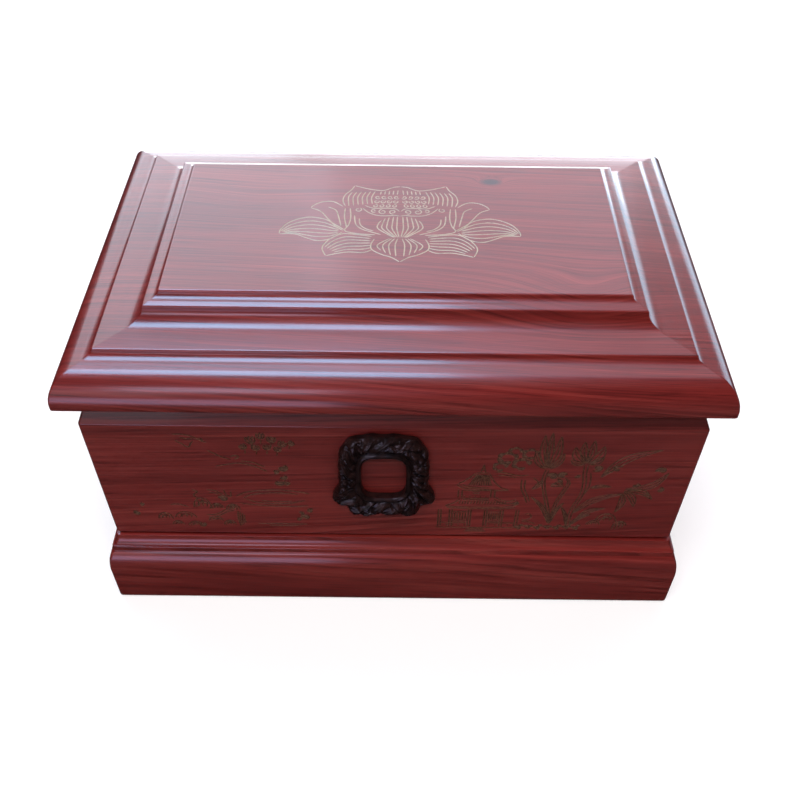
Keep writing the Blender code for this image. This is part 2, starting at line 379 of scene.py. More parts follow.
def plinth_profile(sizes):
    """The plinth's moulding as (distance out from the case's face, height), foot to top."""
    out = PLINTH_HALF_X - CASE_HALF_X
    foot = sizes.plinth_foot
    points = arc((out - foot, foot), (foot, foot), 270, 360, EDGE_STEPS)
    height = sizes.plinth_face
    inset, rise = sizes.shoulder_inset + sizes.slope_inset, sizes.shoulder_rise + sizes.slope_rise
    turned = math.radians(SHOULDER_TURN)
    radii = (inset / (1 - math.cos(turned)), rise / math.sin(turned))
    points += arc((out - radii[0], height), radii, 0, SHOULDER_TURN, SHOULDER_STEPS)
    out -= inset
    height += rise
    points.append((out, height + sizes.riser))
    points += arc((out, PLINTH_HIGH.z), (-sizes.cap_inset, -sizes.cap_rise), CAP_TURN, 0, COVE_STEPS)
    points.append((-sizes.wall, PLINTH_HIGH.z))
    return soften(points, sizes.plinth_arris)


# Drawn lines: every stroke is a list of points in millimetres on its face

CURL_IN = 0.72
LEAF_FULLEST = 0.85
VEIN_ENDS = (0.06, 0.8)
LOTUS_CENTRE = (1.7, 3.8)


def through(points, steps=6):
    """A smooth line through given points."""
    ends = [points[0]] + list(points) + [points[-1]]
    line = []
    for a, b, c, d in zip(ends, ends[1:], ends[2:], ends[3:]):
        for i in range(steps):
            t = i / steps
            line.append(tuple(
                0.5 * (2 * q + (r - p) * t + (2 * p - 5 * q + 4 * r - s) * t * t
                       + (3 * q - p - 3 * r + s) * t ** 3)
                for p, q, r, s in zip(a, b, c, d)))
    line.append(tuple(points[-1]))
    return line


def curl(centre, radius, start, turns, steps=14):
    """A line that winds inwards, from an angle in degrees."""
    count = max(5, int(steps * abs(turns)))
    line = []
    for i in range(count + 1):
        t = i / count
        angle = math.radians(start + 360 * turns * t)
        reach = radius * (1 - CURL_IN * t)
        line.append((centre[0] + reach * math.cos(angle), centre[1] + reach * math.sin(angle)))
    return line


def between(first, second, part, start=0.0, end=1.0, steps=12):
    """A line that lies a given part of the way from one line to another."""
    line = []
    for i in range(steps + 1):
        t = start + (end - start) * i / steps
        line.append(tuple(p + (q - p) * part for p, q in zip(along(first, t), along(second, t))))
    return line


def along(line, t):
    """The point at a share of a line's points."""
    place = t * (len(line) - 1)
    i = min(int(place), len(line) - 2)
    return tuple(p + (q - p) * (place - i) for p, q in zip(line[i], line[i + 1]))


def mirrored(lines, centre):
    """The lines and their mirror images about an upright centre line."""
    return lines + [[(2 * centre - x, y) for x, y in line] for line in lines]


def leaf(base, tip, width, bend, veins=1):
    """A pointed leaf: two edges that bow to either side of a bent middle line."""
    run = Vector((tip[0] - base[0], tip[1] - base[1]))
    side = Vector((-run.y, run.x)).normalized()
    edges = []
    for half in (-width / 2, width / 2):
        edge = []
        for i in range(13):
            t = i / 12
            out = side * (bend * math.sin(math.pi * t) + half * math.sin(math.pi * t ** LEAF_FULLEST))
            edge.append((base[0] + run.x * t + out.x, base[1] + run.y * t + out.y))
        edges.append(edge)
    return edges + [between(*edges, (k + 1) / (veins + 1), *VEIN_ENDS) for k in range(veins)]


def lotus_lines():
    """The open lotus of the lid, drawn to the right of its middle and mirrored."""
    under_top = through([(13, -14), (20, -12.6), (27, -12), (32, -15), (35.5, -20), (36.2, -24),
                         (34.3, -29)])
    under_low = through([(13, -24), (17, -26.2), (24, -26), (30, -27.4), (34.3, -29)])
    outer_top = through([(26.5, -9), (31, -5), (36, -0.8), (43, 1), (49, -0.5), (54, -4), (57, -9),
                         (57.4, -12.6)])
    outer_low = through([(27.5, -10.5), (33, -16), (39, -17.5), (44, -15.6), (50, -12.6), (57.4, -12.6)])
    raised_top = through([(28, 10), (33, 14), (38.5, 13.8), (42.5, 11), (43.8, 8.6)])
    raised_low = through([(27.2, -9.5), (31, -6), (35, 0), (39, 6), (43.8, 8.6)])
    lines = [under_top, under_low, outer_top, outer_low, raised_top, raised_low]
    lines += [between(under_top, under_low, k / 6, 0.03, 0.74) for k in range(1, 6)]
    lines += [between(outer_top, outer_low, k / 6, 0.08, 0.90) for k in range(1, 6)]
    lines += [
        through([(35.5, 9.6), (31.5, 7), (30, 2), (28.3, -6)]),
        through([(27.0, 9), (27.0, 1), (25.5, -7.5)]),
        through([(24.6, 9), (24.0, 1), (24.8, -5), (26.4, -9.5), (20.5, -11.8), (11.5, -12.6)]),
        through([(22.2, 3), (21.4, -4), (18.5, -8), (13.5, -10.5), (9.0, -12.4)]),
        through([(19.8, 0.5), (19.2, -4.4), (16.5, -7.8), (12.5, -9.6)]),
    ]
    shell_top = through([(12.0, -15.6), (13.6, -20), (13.0, -24), (8.4, -27.6), (4.0, -29.6), (0, -33)])
    lines.append(shell_top)
    for reach, low in ((10.6, -24.6), (8.0, -26.6), (5.2, -28.2), (2.2, -29.0)):
        lines.append(through([(reach * 0.45, -15.2), (reach, -20.5), (reach * 0.82, low)]))
    for reach, high in ((11.2, -1.0), (9.0, 0.8), (6.6, 1.8), (4.0, 2.2), (1.6, 2.4)):
        lines.append(through([(reach * 0.25, -14.6), (reach * 0.92, -8), (reach * 0.94, -4),
                              (reach * 0.8, high)]))
    lines.append(through([(0, 27.6), (3.5, 27.0), (7.5, 24.6), (10.5, 24.2), (16.5, 25.6), (23.0, 28.2)]))
    lines.append(through([(23.0, 28.2), (24.6, 24.4), (27.6, 20), (28.4, 15), (27.0, 10.5)]))
    for k in range(6):
        x = 12.6 + 2.3 * k
        lines.append(through([(x, 23.4 - 0.2 * k), (x + 1.7, 18), (x + 1.2, 12.4 - 0.4 * k)]))
    for k in range(5):
        lines.append(through([(1.2 + 2.1 * k, 24.6 - 0.3 * k), (1.6 + 2.1 * k, 20.4)]))
    for row, height in enumerate((18.2, 14.6, 11.0)):
        for k in range(4):
            x = 1.9 + 3.1 * k + 0.6 * row
            lines.append(curl((x, height), 1.45, 200 - 60 * row, 1.1))
    lines += [
        through([(0, 2.6), (2.6, 3.2), (5.5, 2.8), (11, 3.0), (15.5, 5.4), (18.6, 9.2)]),
        through([(0.4, 6.4), (2.0, 8.4), (5.5, 9.0), (9.5, 9.0), (13.5, 9.0), (17.5, 11.2)]),
        curl((3.6, 6.0), 1.9, 250, 1.2),
        curl((8.6, 6.1), 2.1, 90, -1.2),
        curl((13.0, 6.9), 1.5, 220, 1.1),
        curl((20.6, 7.6), 1.8, 120, 1.1),
    ]
    centre, height = LOTUS_CENTRE
    return mirrored([[(x + centre, y + height) for x, y in line] for line in lines], centre)


def pavilion_lines():
    """A small two storey garden pavilion with swept roofs."""
    lines = []
    ridge = [(39.6, 102.6), (45.8, 102.6)]
    left_eave = through([(39.6, 102.6), (35.4, 97.6), (30.6, 93.2)])
    right_eave = through([(45.8, 102.6), (48.4, 96.6), (52.0, 91.6), (56.6, 89.4)])
    lines += [ridge, left_eave, right_eave]
    lines.append(through([(30.6, 93.2), (34.5, 90.6), (42, 90.0), (50.5, 89.2), (56.6, 89.4)]))
    lines.append(through([(33.2, 93.6), (36.0, 91.8), (42, 91.2), (47.8, 91.0)]))
    lines.append(through([(41.4, 102.8), (42.2, 105.2), (42.8, 108.6), (43.4, 105.2), (44.2, 102.8)]))
    for k in range(10):
        top = 40.2 + 0.58 * k
        foot = 36.2 + 1.28 * k
        lines.append([(top, 101.6), ((top + foot) / 2 - 0.1, 96.6), (foot, 92.4)])
    for x in (31.8, 33.6, 47.8, 49.6):
        lines.append([(x, 90.0), (x, 82.4)])
    for height in (88.9, 82.4, 81.2):
        lines.append([(33.6, height), (47.8, height)])
    for height in (87.9, 86.4):
        lines.append([(38.4, height), (42.8, height)])
    for k in range(5):
        lines.append([(35.0 + 2.6 * k, 85.0), (35.0 + 2.6 * k, 83.0)])
    lines.append(through([(33.0, 82.0), (29.6, 78.6), (25.6, 76.4)]))
    lines.append(through([(49.4, 82.0), (53.6, 78.8), (58.0, 78.4), (61.4, 80.6)]))
    lines.append(through([(49.8, 83.6), (54.6, 80.8), (58.4, 80.6), (60.6, 82.2)]))
    lines.append(curl((60.6, 78.8), 1.7, 80, -1.1))
    lines.append(through([(25.6, 76.4), (30, 75.6), (43, 75.4), (56, 75.8), (61.6, 77.6)]))
    lines.append(through([(26.4, 75.0), (31, 74.4), (43, 74.2), (56, 74.4), (61.0, 75.6)]))
    for k in range(17):
        x = 32.6 + 1.42 * k
        lines.append([(x + 0.5, 80.8), (x - 0.1, 77.4)])
    for x in (22.6, 28.2, 37.6, 45.8, 53.8, 61.6):
        for side in (0.0, 1.3):
            lines.append([(x + side, 74.0), (x + side, 58.4)])
    for low, high in ((29.5, 37.6), (47.1, 53.8)):
        lines.append([(low, 71.4), (high, 71.4)])
        lines.append([(low, 63.6), (high, 63.6)])
        for k in range(1, 6):
            x = low + (high - low) * k / 6
            lines.append([(x, 71.0), (x, 64.0)])
    for low, high in ((22.6, 37.6), (47.1, 62.9)):
        lines.append([(low, 62.2), (high, 62.2)])
        for k in range(5):
            x = low + (high - low) * (k + 0.5) / 5
            lines.append([(x, 61.4), (x, 59.2)])
    lines.append([(21.0, 58.0), (64.5, 58.0)])
    for k in range(3):
        lines.append([(37.2 - 0.8 * k, 57.0 - 1.1 * k), (46.4 + 0.8 * k, 57.0 - 1.1 * k)])
    return lines


def tree_lines():
    """Cloud shaped leaves over the pavilion's roof, with a slim trunk."""
    lines = []
    for x, z, radius in (
        (53.5, 114.0, 4.6), (60.5, 109.6, 4.4), (50.6, 107.4, 3.4), (64.0, 117.0, 3.8), (56.8, 118.6, 3.2),
    ):
        for k in range(5):
            angle = 30 + 62 * k
            place = (x + radius * 0.72 * math.cos(math.radians(angle)),
                     z + radius * 0.62 * math.sin(math.radians(angle)))
            lines.append(curl(place, radius * 0.52, angle - 110, 0.72))
    lines += [
        through([(48.4, 103.6), (54.0, 102.6), (60.0, 100.8), (65.0, 101.4)]),
        through([(49.6, 101.0), (54.6, 100.8), (59.4, 99.0)]),
        through([(61.8, 98.4), (62.2, 91), (64.6, 84), (66.2, 79)]),
        through([(63.6, 98.0), (63.8, 91), (66.0, 84.6), (67.4, 80)]),
        through([(66.8, 99.4), (69.6, 96.6), (70.4, 92.4)]),
    ]
    return lines


def flower_lines():
    """Tall garden flowers, their stems, grasses and long leaves."""
    lines = []
    for base, tip, width, bend in (
        ((72.6, 106.5), (69.4, 131.0), 3.6, 1.0), ((73.2, 106.5), (72.6, 132.6), 3.2, 0.2),
        ((73.8, 106.5), (76.8, 130.0), 3.6, -1.2), ((72.0, 106.0), (66.6, 119.6), 3.0, 1.6),
        ((74.2, 106.0), (79.8, 118.0), 2.8, -1.2), ((90.6, 110.4), (84.4, 122.6), 4.4, 1.8),
        ((91.0, 110.6), (88.2, 126.4), 3.6, 0.8), ((91.4, 110.6), (92.6, 127.4), 3.4, -0.4),
        ((91.8, 110.4), (97.6, 123.4), 4.4, -1.8), ((92.4, 109.6), (98.8, 115.8), 3.0, -1.0),
        ((90.2, 109.6), (83.2, 113.4), 3.0, 1.0),
    ):
        lines += leaf(base, tip, width, bend)
    for points in (
        [(72.6, 106), (71.6, 98), (73.2, 88), (76.0, 76), (78.6, 63)],
        [(74.0, 106), (73.0, 98), (74.4, 88.4), (77.2, 77), (79.4, 66)],
        [(82.4, 100.0), (84.2, 95.6), (82.2, 88), (79.8, 78), (79.2, 64)],
        [(84.0, 98.6), (85.4, 95.0), (83.6, 88), (81.0, 78), (80.2, 68)],
        [(90.4, 109.6), (90.6, 103), (91.6, 95), (91.4, 86), (88.6, 74), (87.8, 60)],
        [(92.2, 109.6), (92.2, 103), (93.2, 95), (93.0, 86), (90.2, 74), (89.4, 62)],
        [(94.0, 104.0), (95.0, 98), (94.8, 92), (93.6, 87)],
    ):
        lines.append(through(points))
    for base, tip, width, bend in (
        ((90.0, 71.0), (113.6, 87.6), 3.4, 3.8), ((92.6, 67.0), (106.0, 75.4), 2.6, 2.2),
        ((99.4, 100.0), (125.4, 121.0), 4.4, 4.4), ((95.4, 91.6), (106.0, 92.6), 2.2, 1.2),
        ((112.6, 91.0), (131.6, 104.4), 3.8, -4.6), ((113.4, 89.6), (127.6, 83.0), 3.4, 2.8),
        ((112.2, 88.0), (110.8, 72.0), 3.0, 1.6), ((112.6, 90.0), (119.4, 76.8), 3.2, 1.8),
        ((78.8, 62.0), (67.6, 84.4), 2.2, -2.2), ((79.4, 62.0), (84.6, 80.0), 1.9, 1.4),
        ((88.2, 60.0), (83.6, 76.6), 1.8, -1.0), ((89.4, 60.0), (99.6, 70.4), 2.0, 1.6),
        ((72.0, 97.6), (67.2, 90.2), 2.4, 0.8), ((76.0, 93.0), (82.8, 92.4), 3.4, 1.6),
    ):
        lines += leaf(base, tip, width, bend)
    for centre, radius, start, turns in (
        ((76.4, 100.4), 3.4, 200, -1.1), ((80.8, 101.2), 2.8, 20, 1.1), ((79.4, 95.8), 3.0, 120, -1.0),
        ((97.0, 107.2), 2.9, 210, 1.2), ((102.4, 105.6), 2.2, 10, -1.0), ((88.4, 101.0), 1.6, 180, 1.0),
        ((106.4, 106.6), 2.6, 30, 1.0), ((127.8, 105.6), 3.2, 200, -0.9), ((118.2, 94.4), 2.2, 170, 1.0),
        ((129.8, 90.8), 2.4, 90, -0.8), ((124.0, 87.6), 1.8, 200, 0.9),
    ):
        lines.append(curl(centre, radius, start, turns))
    return lines


def rock_lines(rocks, hatches):
    """Garden rocks, each an arched outline over a fan of short hatches."""
    lines = []
    for x, z, width, height in rocks:
        outline = arc((x, z), (width, height), 172, 8, 9)
        lines.append(outline)
        lines.append(arc((x + width * 0.08, z), (width * 0.66, height * 0.68), 160, 40, 7))
        for k in range(hatches):
            t = (k + 0.7) / hatches
            foot = along(outline, t)
            lines.append([(foot[0] * 0.92 + x * 0.08, foot[1] - 0.5),
                          (foot[0] * 0.75 + x * 0.25, z + (foot[1] - z) * 0.25)])
    return lines


def shore_lines():
    """The far shore on the left: bird, blossom bough, mist curls, boat and rocks."""
    lines = [
        through([(-102.0, 128.4), (-97.4, 128.4), (-92.6, 126.8), (-89.6, 124.4), (-86.6, 122.8)]),
        through([(-90.4, 126.0), (-88.4, 125.0), (-89.2, 123.0)]),
        through([(-101.6, 124.4), (-98.6, 122.0), (-95.6, 119.4), (-94.2, 122.0), (-92.8, 123.8)]),
        through([(-99.0, 126.4), (-95.4, 125.4), (-92.0, 125.8)]),
        through([(-87.4, 117.4), (-84.2, 115.0), (-80.6, 112.2), (-76.6, 110.6)]),
        through([(-85.0, 105.4), (-79.4, 107.0), (-73.8, 108.0), (-67.4, 106.4), (-60.4, 101.8)]),
        through([(-72.6, 109.6), (-67.0, 108.8), (-61.4, 105.2)]),
        through([(-77.0, 112.6), (-74.6, 113.8), (-73.2, 112.4), (-75.4, 110.8)]),
        through([(-78.2, 81.8), (-74.4, 84.6), (-69.4, 86.4), (-60.8, 87.4), (-50.4, 87.0), (-41.0, 84.6)]),
        through([(-74.8, 80.6), (-70.2, 83.6), (-63.0, 85.0), (-54.6, 85.2), (-46.8, 84.0)]),
        through([(-73.6, 80.4), (-68.0, 77.6), (-61.0, 76.4), (-52.0, 76.8), (-43.6, 79.4)]),
        through([(-66.0, 79.0), (-58.0, 78.0), (-50.0, 78.6)]),
        through([(-76.6, 76.6), (-70.0, 75.4), (-60.0, 74.4), (-50.0, 74.2), (-42.4, 75.0)]),
        [(-69.6, 59.4), (-58.0, 59.6), (-43.8, 59.2)],
        [(-64.0, 58.0), (-55.0, 57.8), (-48.0, 58.2)],
    ]
    for x, z, lean, size in (
        (-66.0, 124.0, 12, 6.4), (-61.4, 127.0, 2, 5.4), (-57.0, 124.4, -14, 5.6), (-52.6, 121.6, -30, 5.4),
        (-69.4, 119.6, 34, 5.0), (-64.2, 118.6, 6, 4.8), (-59.2, 119.0, -4, 4.8), (-54.6, 117.8, -12, 4.6),
        (-48.6, 122.6, -58, 4.4),
    ):
        heart = (x, z - size * 0.3)
        for turn in (-26, 0, 26):
            angle = math.radians(90 + lean + turn)
            tip = (x + size * 0.62 * math.cos(angle), z + size * 0.62 * math.sin(angle))
            lines += leaf(heart, tip, size * 0.24, 0.2 * size * math.sin(math.radians(turn)), 0)
        lines.append([heart, (x - 0.3, z - size * 0.95)])
    for centre, radius, start, turns in (
        ((-53.2, 104.2), 2.9, 70, -1.1), ((-56.6, 101.8), 1.9, 240, 1.0), ((-53.6, 97.2), 2.3, 60, -0.9),
        ((-55.8, 93.4), 3.3, 30, -0.8), ((-51.8, 93.0), 1.8, 200, 1.0), ((-129.4, 67.6), 2.1, 100, 1.1),
        ((-126.2, 75.0), 1.7, 250, 0.8), ((-84.6, 79.8), 2.9, 160, -1.0), ((-44.4, 65.0), 2.7, 180, -0.9),
        ((-41.8, 70.6), 2.1, 40, 1.0), ((-47.6, 63.2), 1.8, 20, 0.9), ((-98.0, 58.0), 2.2, 60, -1.0),
        ((-46.4, 68.4), 1.7, 150, -0.9),
    ):
        lines.append(curl(centre, radius, start, turns))
    lines += [
        through([(-99.4, 87.2), (-96.6, 85.6), (-98.8, 82.6), (-96.4, 79.4)]),
        through([(-92.0, 87.2), (-88.0, 86.6), (-85.8, 84.6), (-83.8, 82.4)]),
        through([(-91.4, 85.2), (-88.0, 84.6), (-86.4, 83.0)]),
        through([(-83.4, 87.6), (-82.8, 83.6), (-80.6, 81.8), (-80.2, 86.4)]),
        through([(-95.0, 66.4), (-89.4, 67.2), (-84.4, 70.8), (-79.4, 72.4)]),
        through([(-94.2, 64.4), (-88.8, 65.6), (-84.0, 69.2), (-79.8, 70.6)]),
        through([(-112.0, 74.6), (-107.4, 75.2), (-102.6, 72.8)]),
    ]
    lines += rock_lines(((-95.6, 71.0, 4.6, 9.6), (-88.4, 70.6, 3.4, 5.6), (-80.6, 69.4, 3.6, 6.4),
                         (-105.4, 62.6, 5.6, 6.2), (-115.8, 61.4, 3.8, 6.6), (-101.0, 56.0, 4.2, 4.8),
                         (-90.4, 60.4, 3.8, 4.6), (-83.6, 57.0, 3.2, 5.0), (-110.2, 56.8, 3.0, 4.4)), 5)
    for k in range(4):
        x = -78.4 + 1.0 * k
        lines.append([(x, 70.4 - k), (x - 0.6, 63.0), (x + 0.2, 56.6 + k)])
    return lines


def ground_lines():
    """Curling ground plants and rocks at the foot of the garden."""
    lines = []
    for k in range(7):
        x = 63.6 + 4.9 * k
        lines.append(curl((x, 57.6 + 0.7 * (k % 2)), 2.3, 150, -0.72))
        lines.append(curl((x + 1.6, 59.8 - 0.8 * (k % 2)), 1.6, 30, 0.7))
    lines += rock_lines(((107.6, 62.6, 5.6, 8.6), (101.6, 60.4, 3.6, 4.6), (115.6, 60.0, 3.2, 4.8)), 4)
    for k in range(4):
        lines.append([(112.4 + 1.7 * k, 63.0), (111.8 + 1.7 * k, 57.2 + 0.5 * k)])
    lines.append(through([(66.0, 69.6), (68.6, 70.2), (69.6, 67.2), (67.2, 65.0), (64.8, 65.6)]))
    lines.append(through([(64.6, 63.6), (68.4, 63.6), (72.6, 61.4)]))
    return lines


def front_lines():
    """All the lines cut into the front of the case."""
    return pavilion_lines() + tree_lines() + flower_lines() + shore_lines() + ground_lines()


# Engraving, in millimetres

STROKE_RUN_IN = 1.2
STROKE_RUN_SHARE = 0.4
STROKE_TAPER = 0.6
STROKE_STEP = 1.3
SMALLEST_STEP = 0.08
SHALLOWEST = 0.01
PLACES_AT_ONCE = 400
CLOSE_POINTS = 1e-4
ALONG_FACE = 0.999


def stroke_widths(line, half):
    """Half widths along a line that starts and ends in a point, as a pushed graver leaves it."""
    lengths = [0.0]
    for a, b in zip(line, line[1:]):
        lengths.append(lengths[-1] + math.dist(a, b))
    total = lengths[-1]
    run = min(STROKE_RUN_IN, total * STROKE_RUN_SHARE)
    widths = []
    for place in lengths:
        near_end = min(place, total - place)
        widths.append(half * min(1.0, (near_end / run) ** STROKE_TAPER) if run > 0 else 0.0)
    return widths


def tidy_line(line):
    """Drop points that fall on one another, and give long straight runs points between."""
    kept = [line[0]]
    for point in line[1:]:
        gap = math.dist(point, kept[-1])
        if gap > SMALLEST_STEP:
            pieces = max(1, math.ceil(gap / STROKE_STEP))
            last = kept[-1]
            for k in range(1, pieces + 1):
                kept.append(tuple(p + (q - p) * k / pieces for p, q in zip(last, point)))
    return kept


def groove_plan(lines, half):
    """Vertices and edges of every groove's two rims and bottom, and its segments for depths."""
    points, edges, segments = [], [], []
    for line in lines:
        line = tidy_line(line)
        if len(line) < 2:
            continue
        widths = stroke_widths(line, half)
        rails = {-1: [], 0: [], 1: []}
        for i, (x, y) in enumerate(line):
            before, after = line[max(0, i - 1)], line[min(len(line) - 1, i + 1)]
            run = Vector((after[0] - before[0], after[1] - before[1]))
            if run.length < 1e-6:
                run = Vector((1.0, 0.0))
            side = Vector((-run.y, run.x)).normalized()
            for rail in rails:
                offset = 0.0 if i in (0, len(line) - 1) else rail * widths[i]
                rails[rail].append((x + side.x * offset, y + side.y * offset))
        for rail, places in rails.items():
            first = len(points)
            points += places
            edges += [(first + i, first + i + 1) for i in range(len(places) - 1)]
        for i in range(len(line) - 1):
            segments.append((*line[i], *line[i + 1], widths[i], widths[i + 1]))
    return points, edges, segments


def groove_depths(places, segments, slope):
    """Depth of the cut at each place: the distance in from the rim of the nearest groove."""
    table = np.array(segments)
    start, run = table[:, 0:2], table[:, 2:4] - table[:, 0:2]
    square = (run ** 2).sum(1) + 1e-12
    depths = np.zeros(len(places))
    spots = np.array(places)
    for low in range(0, len(spots), PLACES_AT_ONCE):
        part = spots[low:low + PLACES_AT_ONCE]
        away = part[:, None, :] - start[None, :, :]
        t = np.clip((away * run[None]).sum(2) / square, 0.0, 1.0)
        gap = np.sqrt(((away - t[:, :, None] * run[None]) ** 2).sum(2))
        width = table[:, 4] + (table[:, 5] - table[:, 4]) * t
        depths[low:low + PLACES_AT_ONCE] = np.clip(width - gap, 0.0, None).max(1) * slope
    depths[depths < SHALLOWEST] = 0.0
    return depths


def engrave(piece, facing, to_plan, to_place, lines, half, slope):
    """Swap the largest face that looks one way for one with the lines cut into it as grooves.

    to_plan turns a place into millimetres on the face, and to_place turns them and a depth back.
    Faces in a groove get the piece's second material.
    """
    bm = bmesh.new()
    bm.from_mesh(piece.data)
    faces = [face for face in bm.faces if face.normal.dot(facing) > ALONG_FACE]
    panel = max(faces, key=lambda face: face.calc_area())
    rim = list(panel.verts)
    bmesh.ops.delete(bm, geom=[panel], context="FACES_ONLY")
    plan = [to_plan(vertex.co) for vertex in rim]
    points, edges, segments = groove_plan(lines, half)
    count = len(plan)
    all_points = [Vector(point) for point in plan + points]
    all_edges = [(i, (i + 1) % count) for i in range(count)]
    all_edges += [(a + count, b + count) for a, b in edges]
    spots, _, triangles, origins, _, _ = delaunay_2d_cdt(all_points, all_edges, [], 0, CLOSE_POINTS)
    depths = groove_depths([tuple(spot) for spot in spots], segments, slope)
    vertices = []
    for spot, depth, origin in zip(spots, depths, origins):
        held = [i for i in origin if i < count]
        vertices.append(rim[held[0]] if held else bm.verts.new(to_place(spot.x, spot.y, depth)))
    for corners in triangles:
        trio = [vertices[i] for i in corners]
        face = bm.faces.new(trio)
        face.normal_update()
        if face.normal.dot(facing) < 0:
            face.normal_flip()
        face.material_index = 1 if max(depths[i] for i in corners) > 0 else 0
    bm.to_mesh(piece.data)
    bm.free()


# Materials

NOISE_RANGE = (0.3, 0.7)
PORE_RANGE = (0.30, 0.44)


def node(tree, kind, **values):
    """Add a node and set its plain values: properties by name, inputs by their label."""
    made = tree.nodes.new("ShaderNode" + kind)
    for key, value in values.items():
        if hasattr(made, key):
            setattr(made, key, value)
        else:
            made.inputs[key.replace("_", " ")].default_value = value
    return made


def plug(tree, socket, value):
    """Link a socket, or set it where the value is a plain number."""
    if isinstance(value, bpy.types.NodeSocket):
        tree.links.new(value, socket)
    else:
        socket.default_value = value


def sums(tree, operation, *values):
    """One Math node and its result."""
    made = node(tree, "Math", operation=operation)
    for socket, value in zip(made.inputs, values):
        plug(tree, socket, value)
    return made.outputs[0]


def stretched(tree, values, factors):
    """A vector of three values, each stretched by its own factor."""
    made = node(tree, "CombineXYZ")
    for socket, value, factor in zip(made.inputs, values, factors):
        plug(tree, socket, sums(tree, "MULTIPLY", value, factor))
    return made.outputs[0]


def noise(tree, vector, scale=1.0, detail=3.0, roughness=0.5, distortion=0.0):
    """A noise value between 0 and 1 at a vector."""
    made = node(tree, "TexNoise", Scale=scale, Detail=detail, Roughness=roughness, Distortion=distortion)
    tree.links.new(vector, made.inputs["Vector"])
    return made.outputs["Fac"]


def ramp(tree, value, stops):
    """A colour from a value by (place, colour) stops."""
    made = node(tree, "ValToRGB")
    elements = made.color_ramp.elements
    while len(elements) < len(stops):
        elements.new(0.5)
    for element, (place, shade) in zip(elements, stops):
        element.position = place
        element.color = (*shade, 1.0)
    tree.links.new(value, made.inputs["Fac"])
    return made.outputs["Color"]


def remap(tree, value, low, high, to_low=0.0, to_high=1.0):
    """A value moved from one range to another, kept inside it."""
    made = node(tree, "MapRange")
    made.inputs["From Min"].default_value = low
    made.inputs["From Max"].default_value = high
    made.inputs["To Min"].default_value = to_low
    made.inputs["To Max"].default_value = to_high
    tree.links.new(value, made.inputs["Value"])
    return made.outputs["Result"]


def blended(tree, mode, factor, first, second):
    """A Mix node on colours."""
    made = node(tree, "Mix", data_type="RGBA", blend_type=mode)
    plug(tree, made.inputs["Factor"], factor)
    for socket, value in ((made.inputs[6], first), (made.inputs[7], second)):
        plug(tree, socket, value if isinstance(value, bpy.types.NodeSocket) else (*value, 1.0))
    return made.outputs[2]


def bump(tree, height, strength, distance, normal=None):
    """A bump normal from a height."""
    made = node(tree, "Bump", Strength=strength, Distance=distance)
    tree.links.new(height, made.inputs["Height"])
    if normal is not None:
        tree.links.new(normal, made.inputs["Normal"])
    return made.outputs["Normal"]


def follow_roughness(tree, shader, value, low, high):
    """Roughness that follows a noise from one value to another."""
    tree.links.new(remap(tree, value, *NOISE_RANGE, low, high), shader.inputs["Roughness"])


def new_material(name):
    """An empty material with its shader, and the tree they are in."""
    material = bpy.data.materials.new(name)
    material.use_nodes = True
    return material, material.node_tree, material.node_tree.nodes["Principled BSDF"]


def grain_space(tree, turn=0.0, shift=(0.0, 0.0, 0.0)):
    """Object coordinates turned so that the grain runs along X, and moved to another log."""
    coordinates = node(tree, "TexCoord").outputs["Object"]
    mapping = node(tree, "Mapping")
    mapping.inputs["Rotation"].default_value = (0.0, 0.0, turn)
    mapping.inputs["Location"].default_value = shift
    tree.links.new(coordinates, mapping.inputs["Vector"])
    split = node(tree, "SeparateXYZ")
    tree.links.new(mapping.outputs["Vector"], split.inputs["Vector"])
    return mapping.outputs["Vector"], split.outputs["X"], split.outputs["Y"], split.outputs["Z"]


# How often each pattern in the wood repeats in a metre: along the grain, then across it
SWAY_RATE = (4.5, 7.0, 7.0)
BAND_RATE = (3.0, 300.0, 1.0)
STREAK_RATE = (9.0, 1200.0, 8.0)
LINE_RATE = (5.0, 700.0, 1.0)
FIBRE_RATE = (55.0, 2400.0, 2400.0)
CLOUD_RATE = (7.0, 22.0, 22.0)
RAW_RATE = (12.0, 420.0, 420.0)
SWAY = 0.0060
RISE_OF_PITH = 0.02
LINE_PLACE = 7.0
LINE_HALF_WIDTH = 0.030
BAND_SHARE, STREAK_SHARE, CLOUD_SHARE = 0.30, 0.50, 0.20
TONE_STOPS = (0.32, 0.49, 0.71)
PORE_SHADE, PORE_STRENGTH = (0.35, 0.30, 0.30), 0.55
LINE_SHADE, LINE_STRENGTH = (0.22, 0.16, 0.16), 0.50
WHITE = (1.0, 1.0, 1.0)

# A knot is longer along the grain, lifts it most at its middle, and shows its eye there
KNOT_LENGTH = 0.55
KNOT_SOFTNESS = 0.35
KNOT_EYE = (0.10, 0.75)


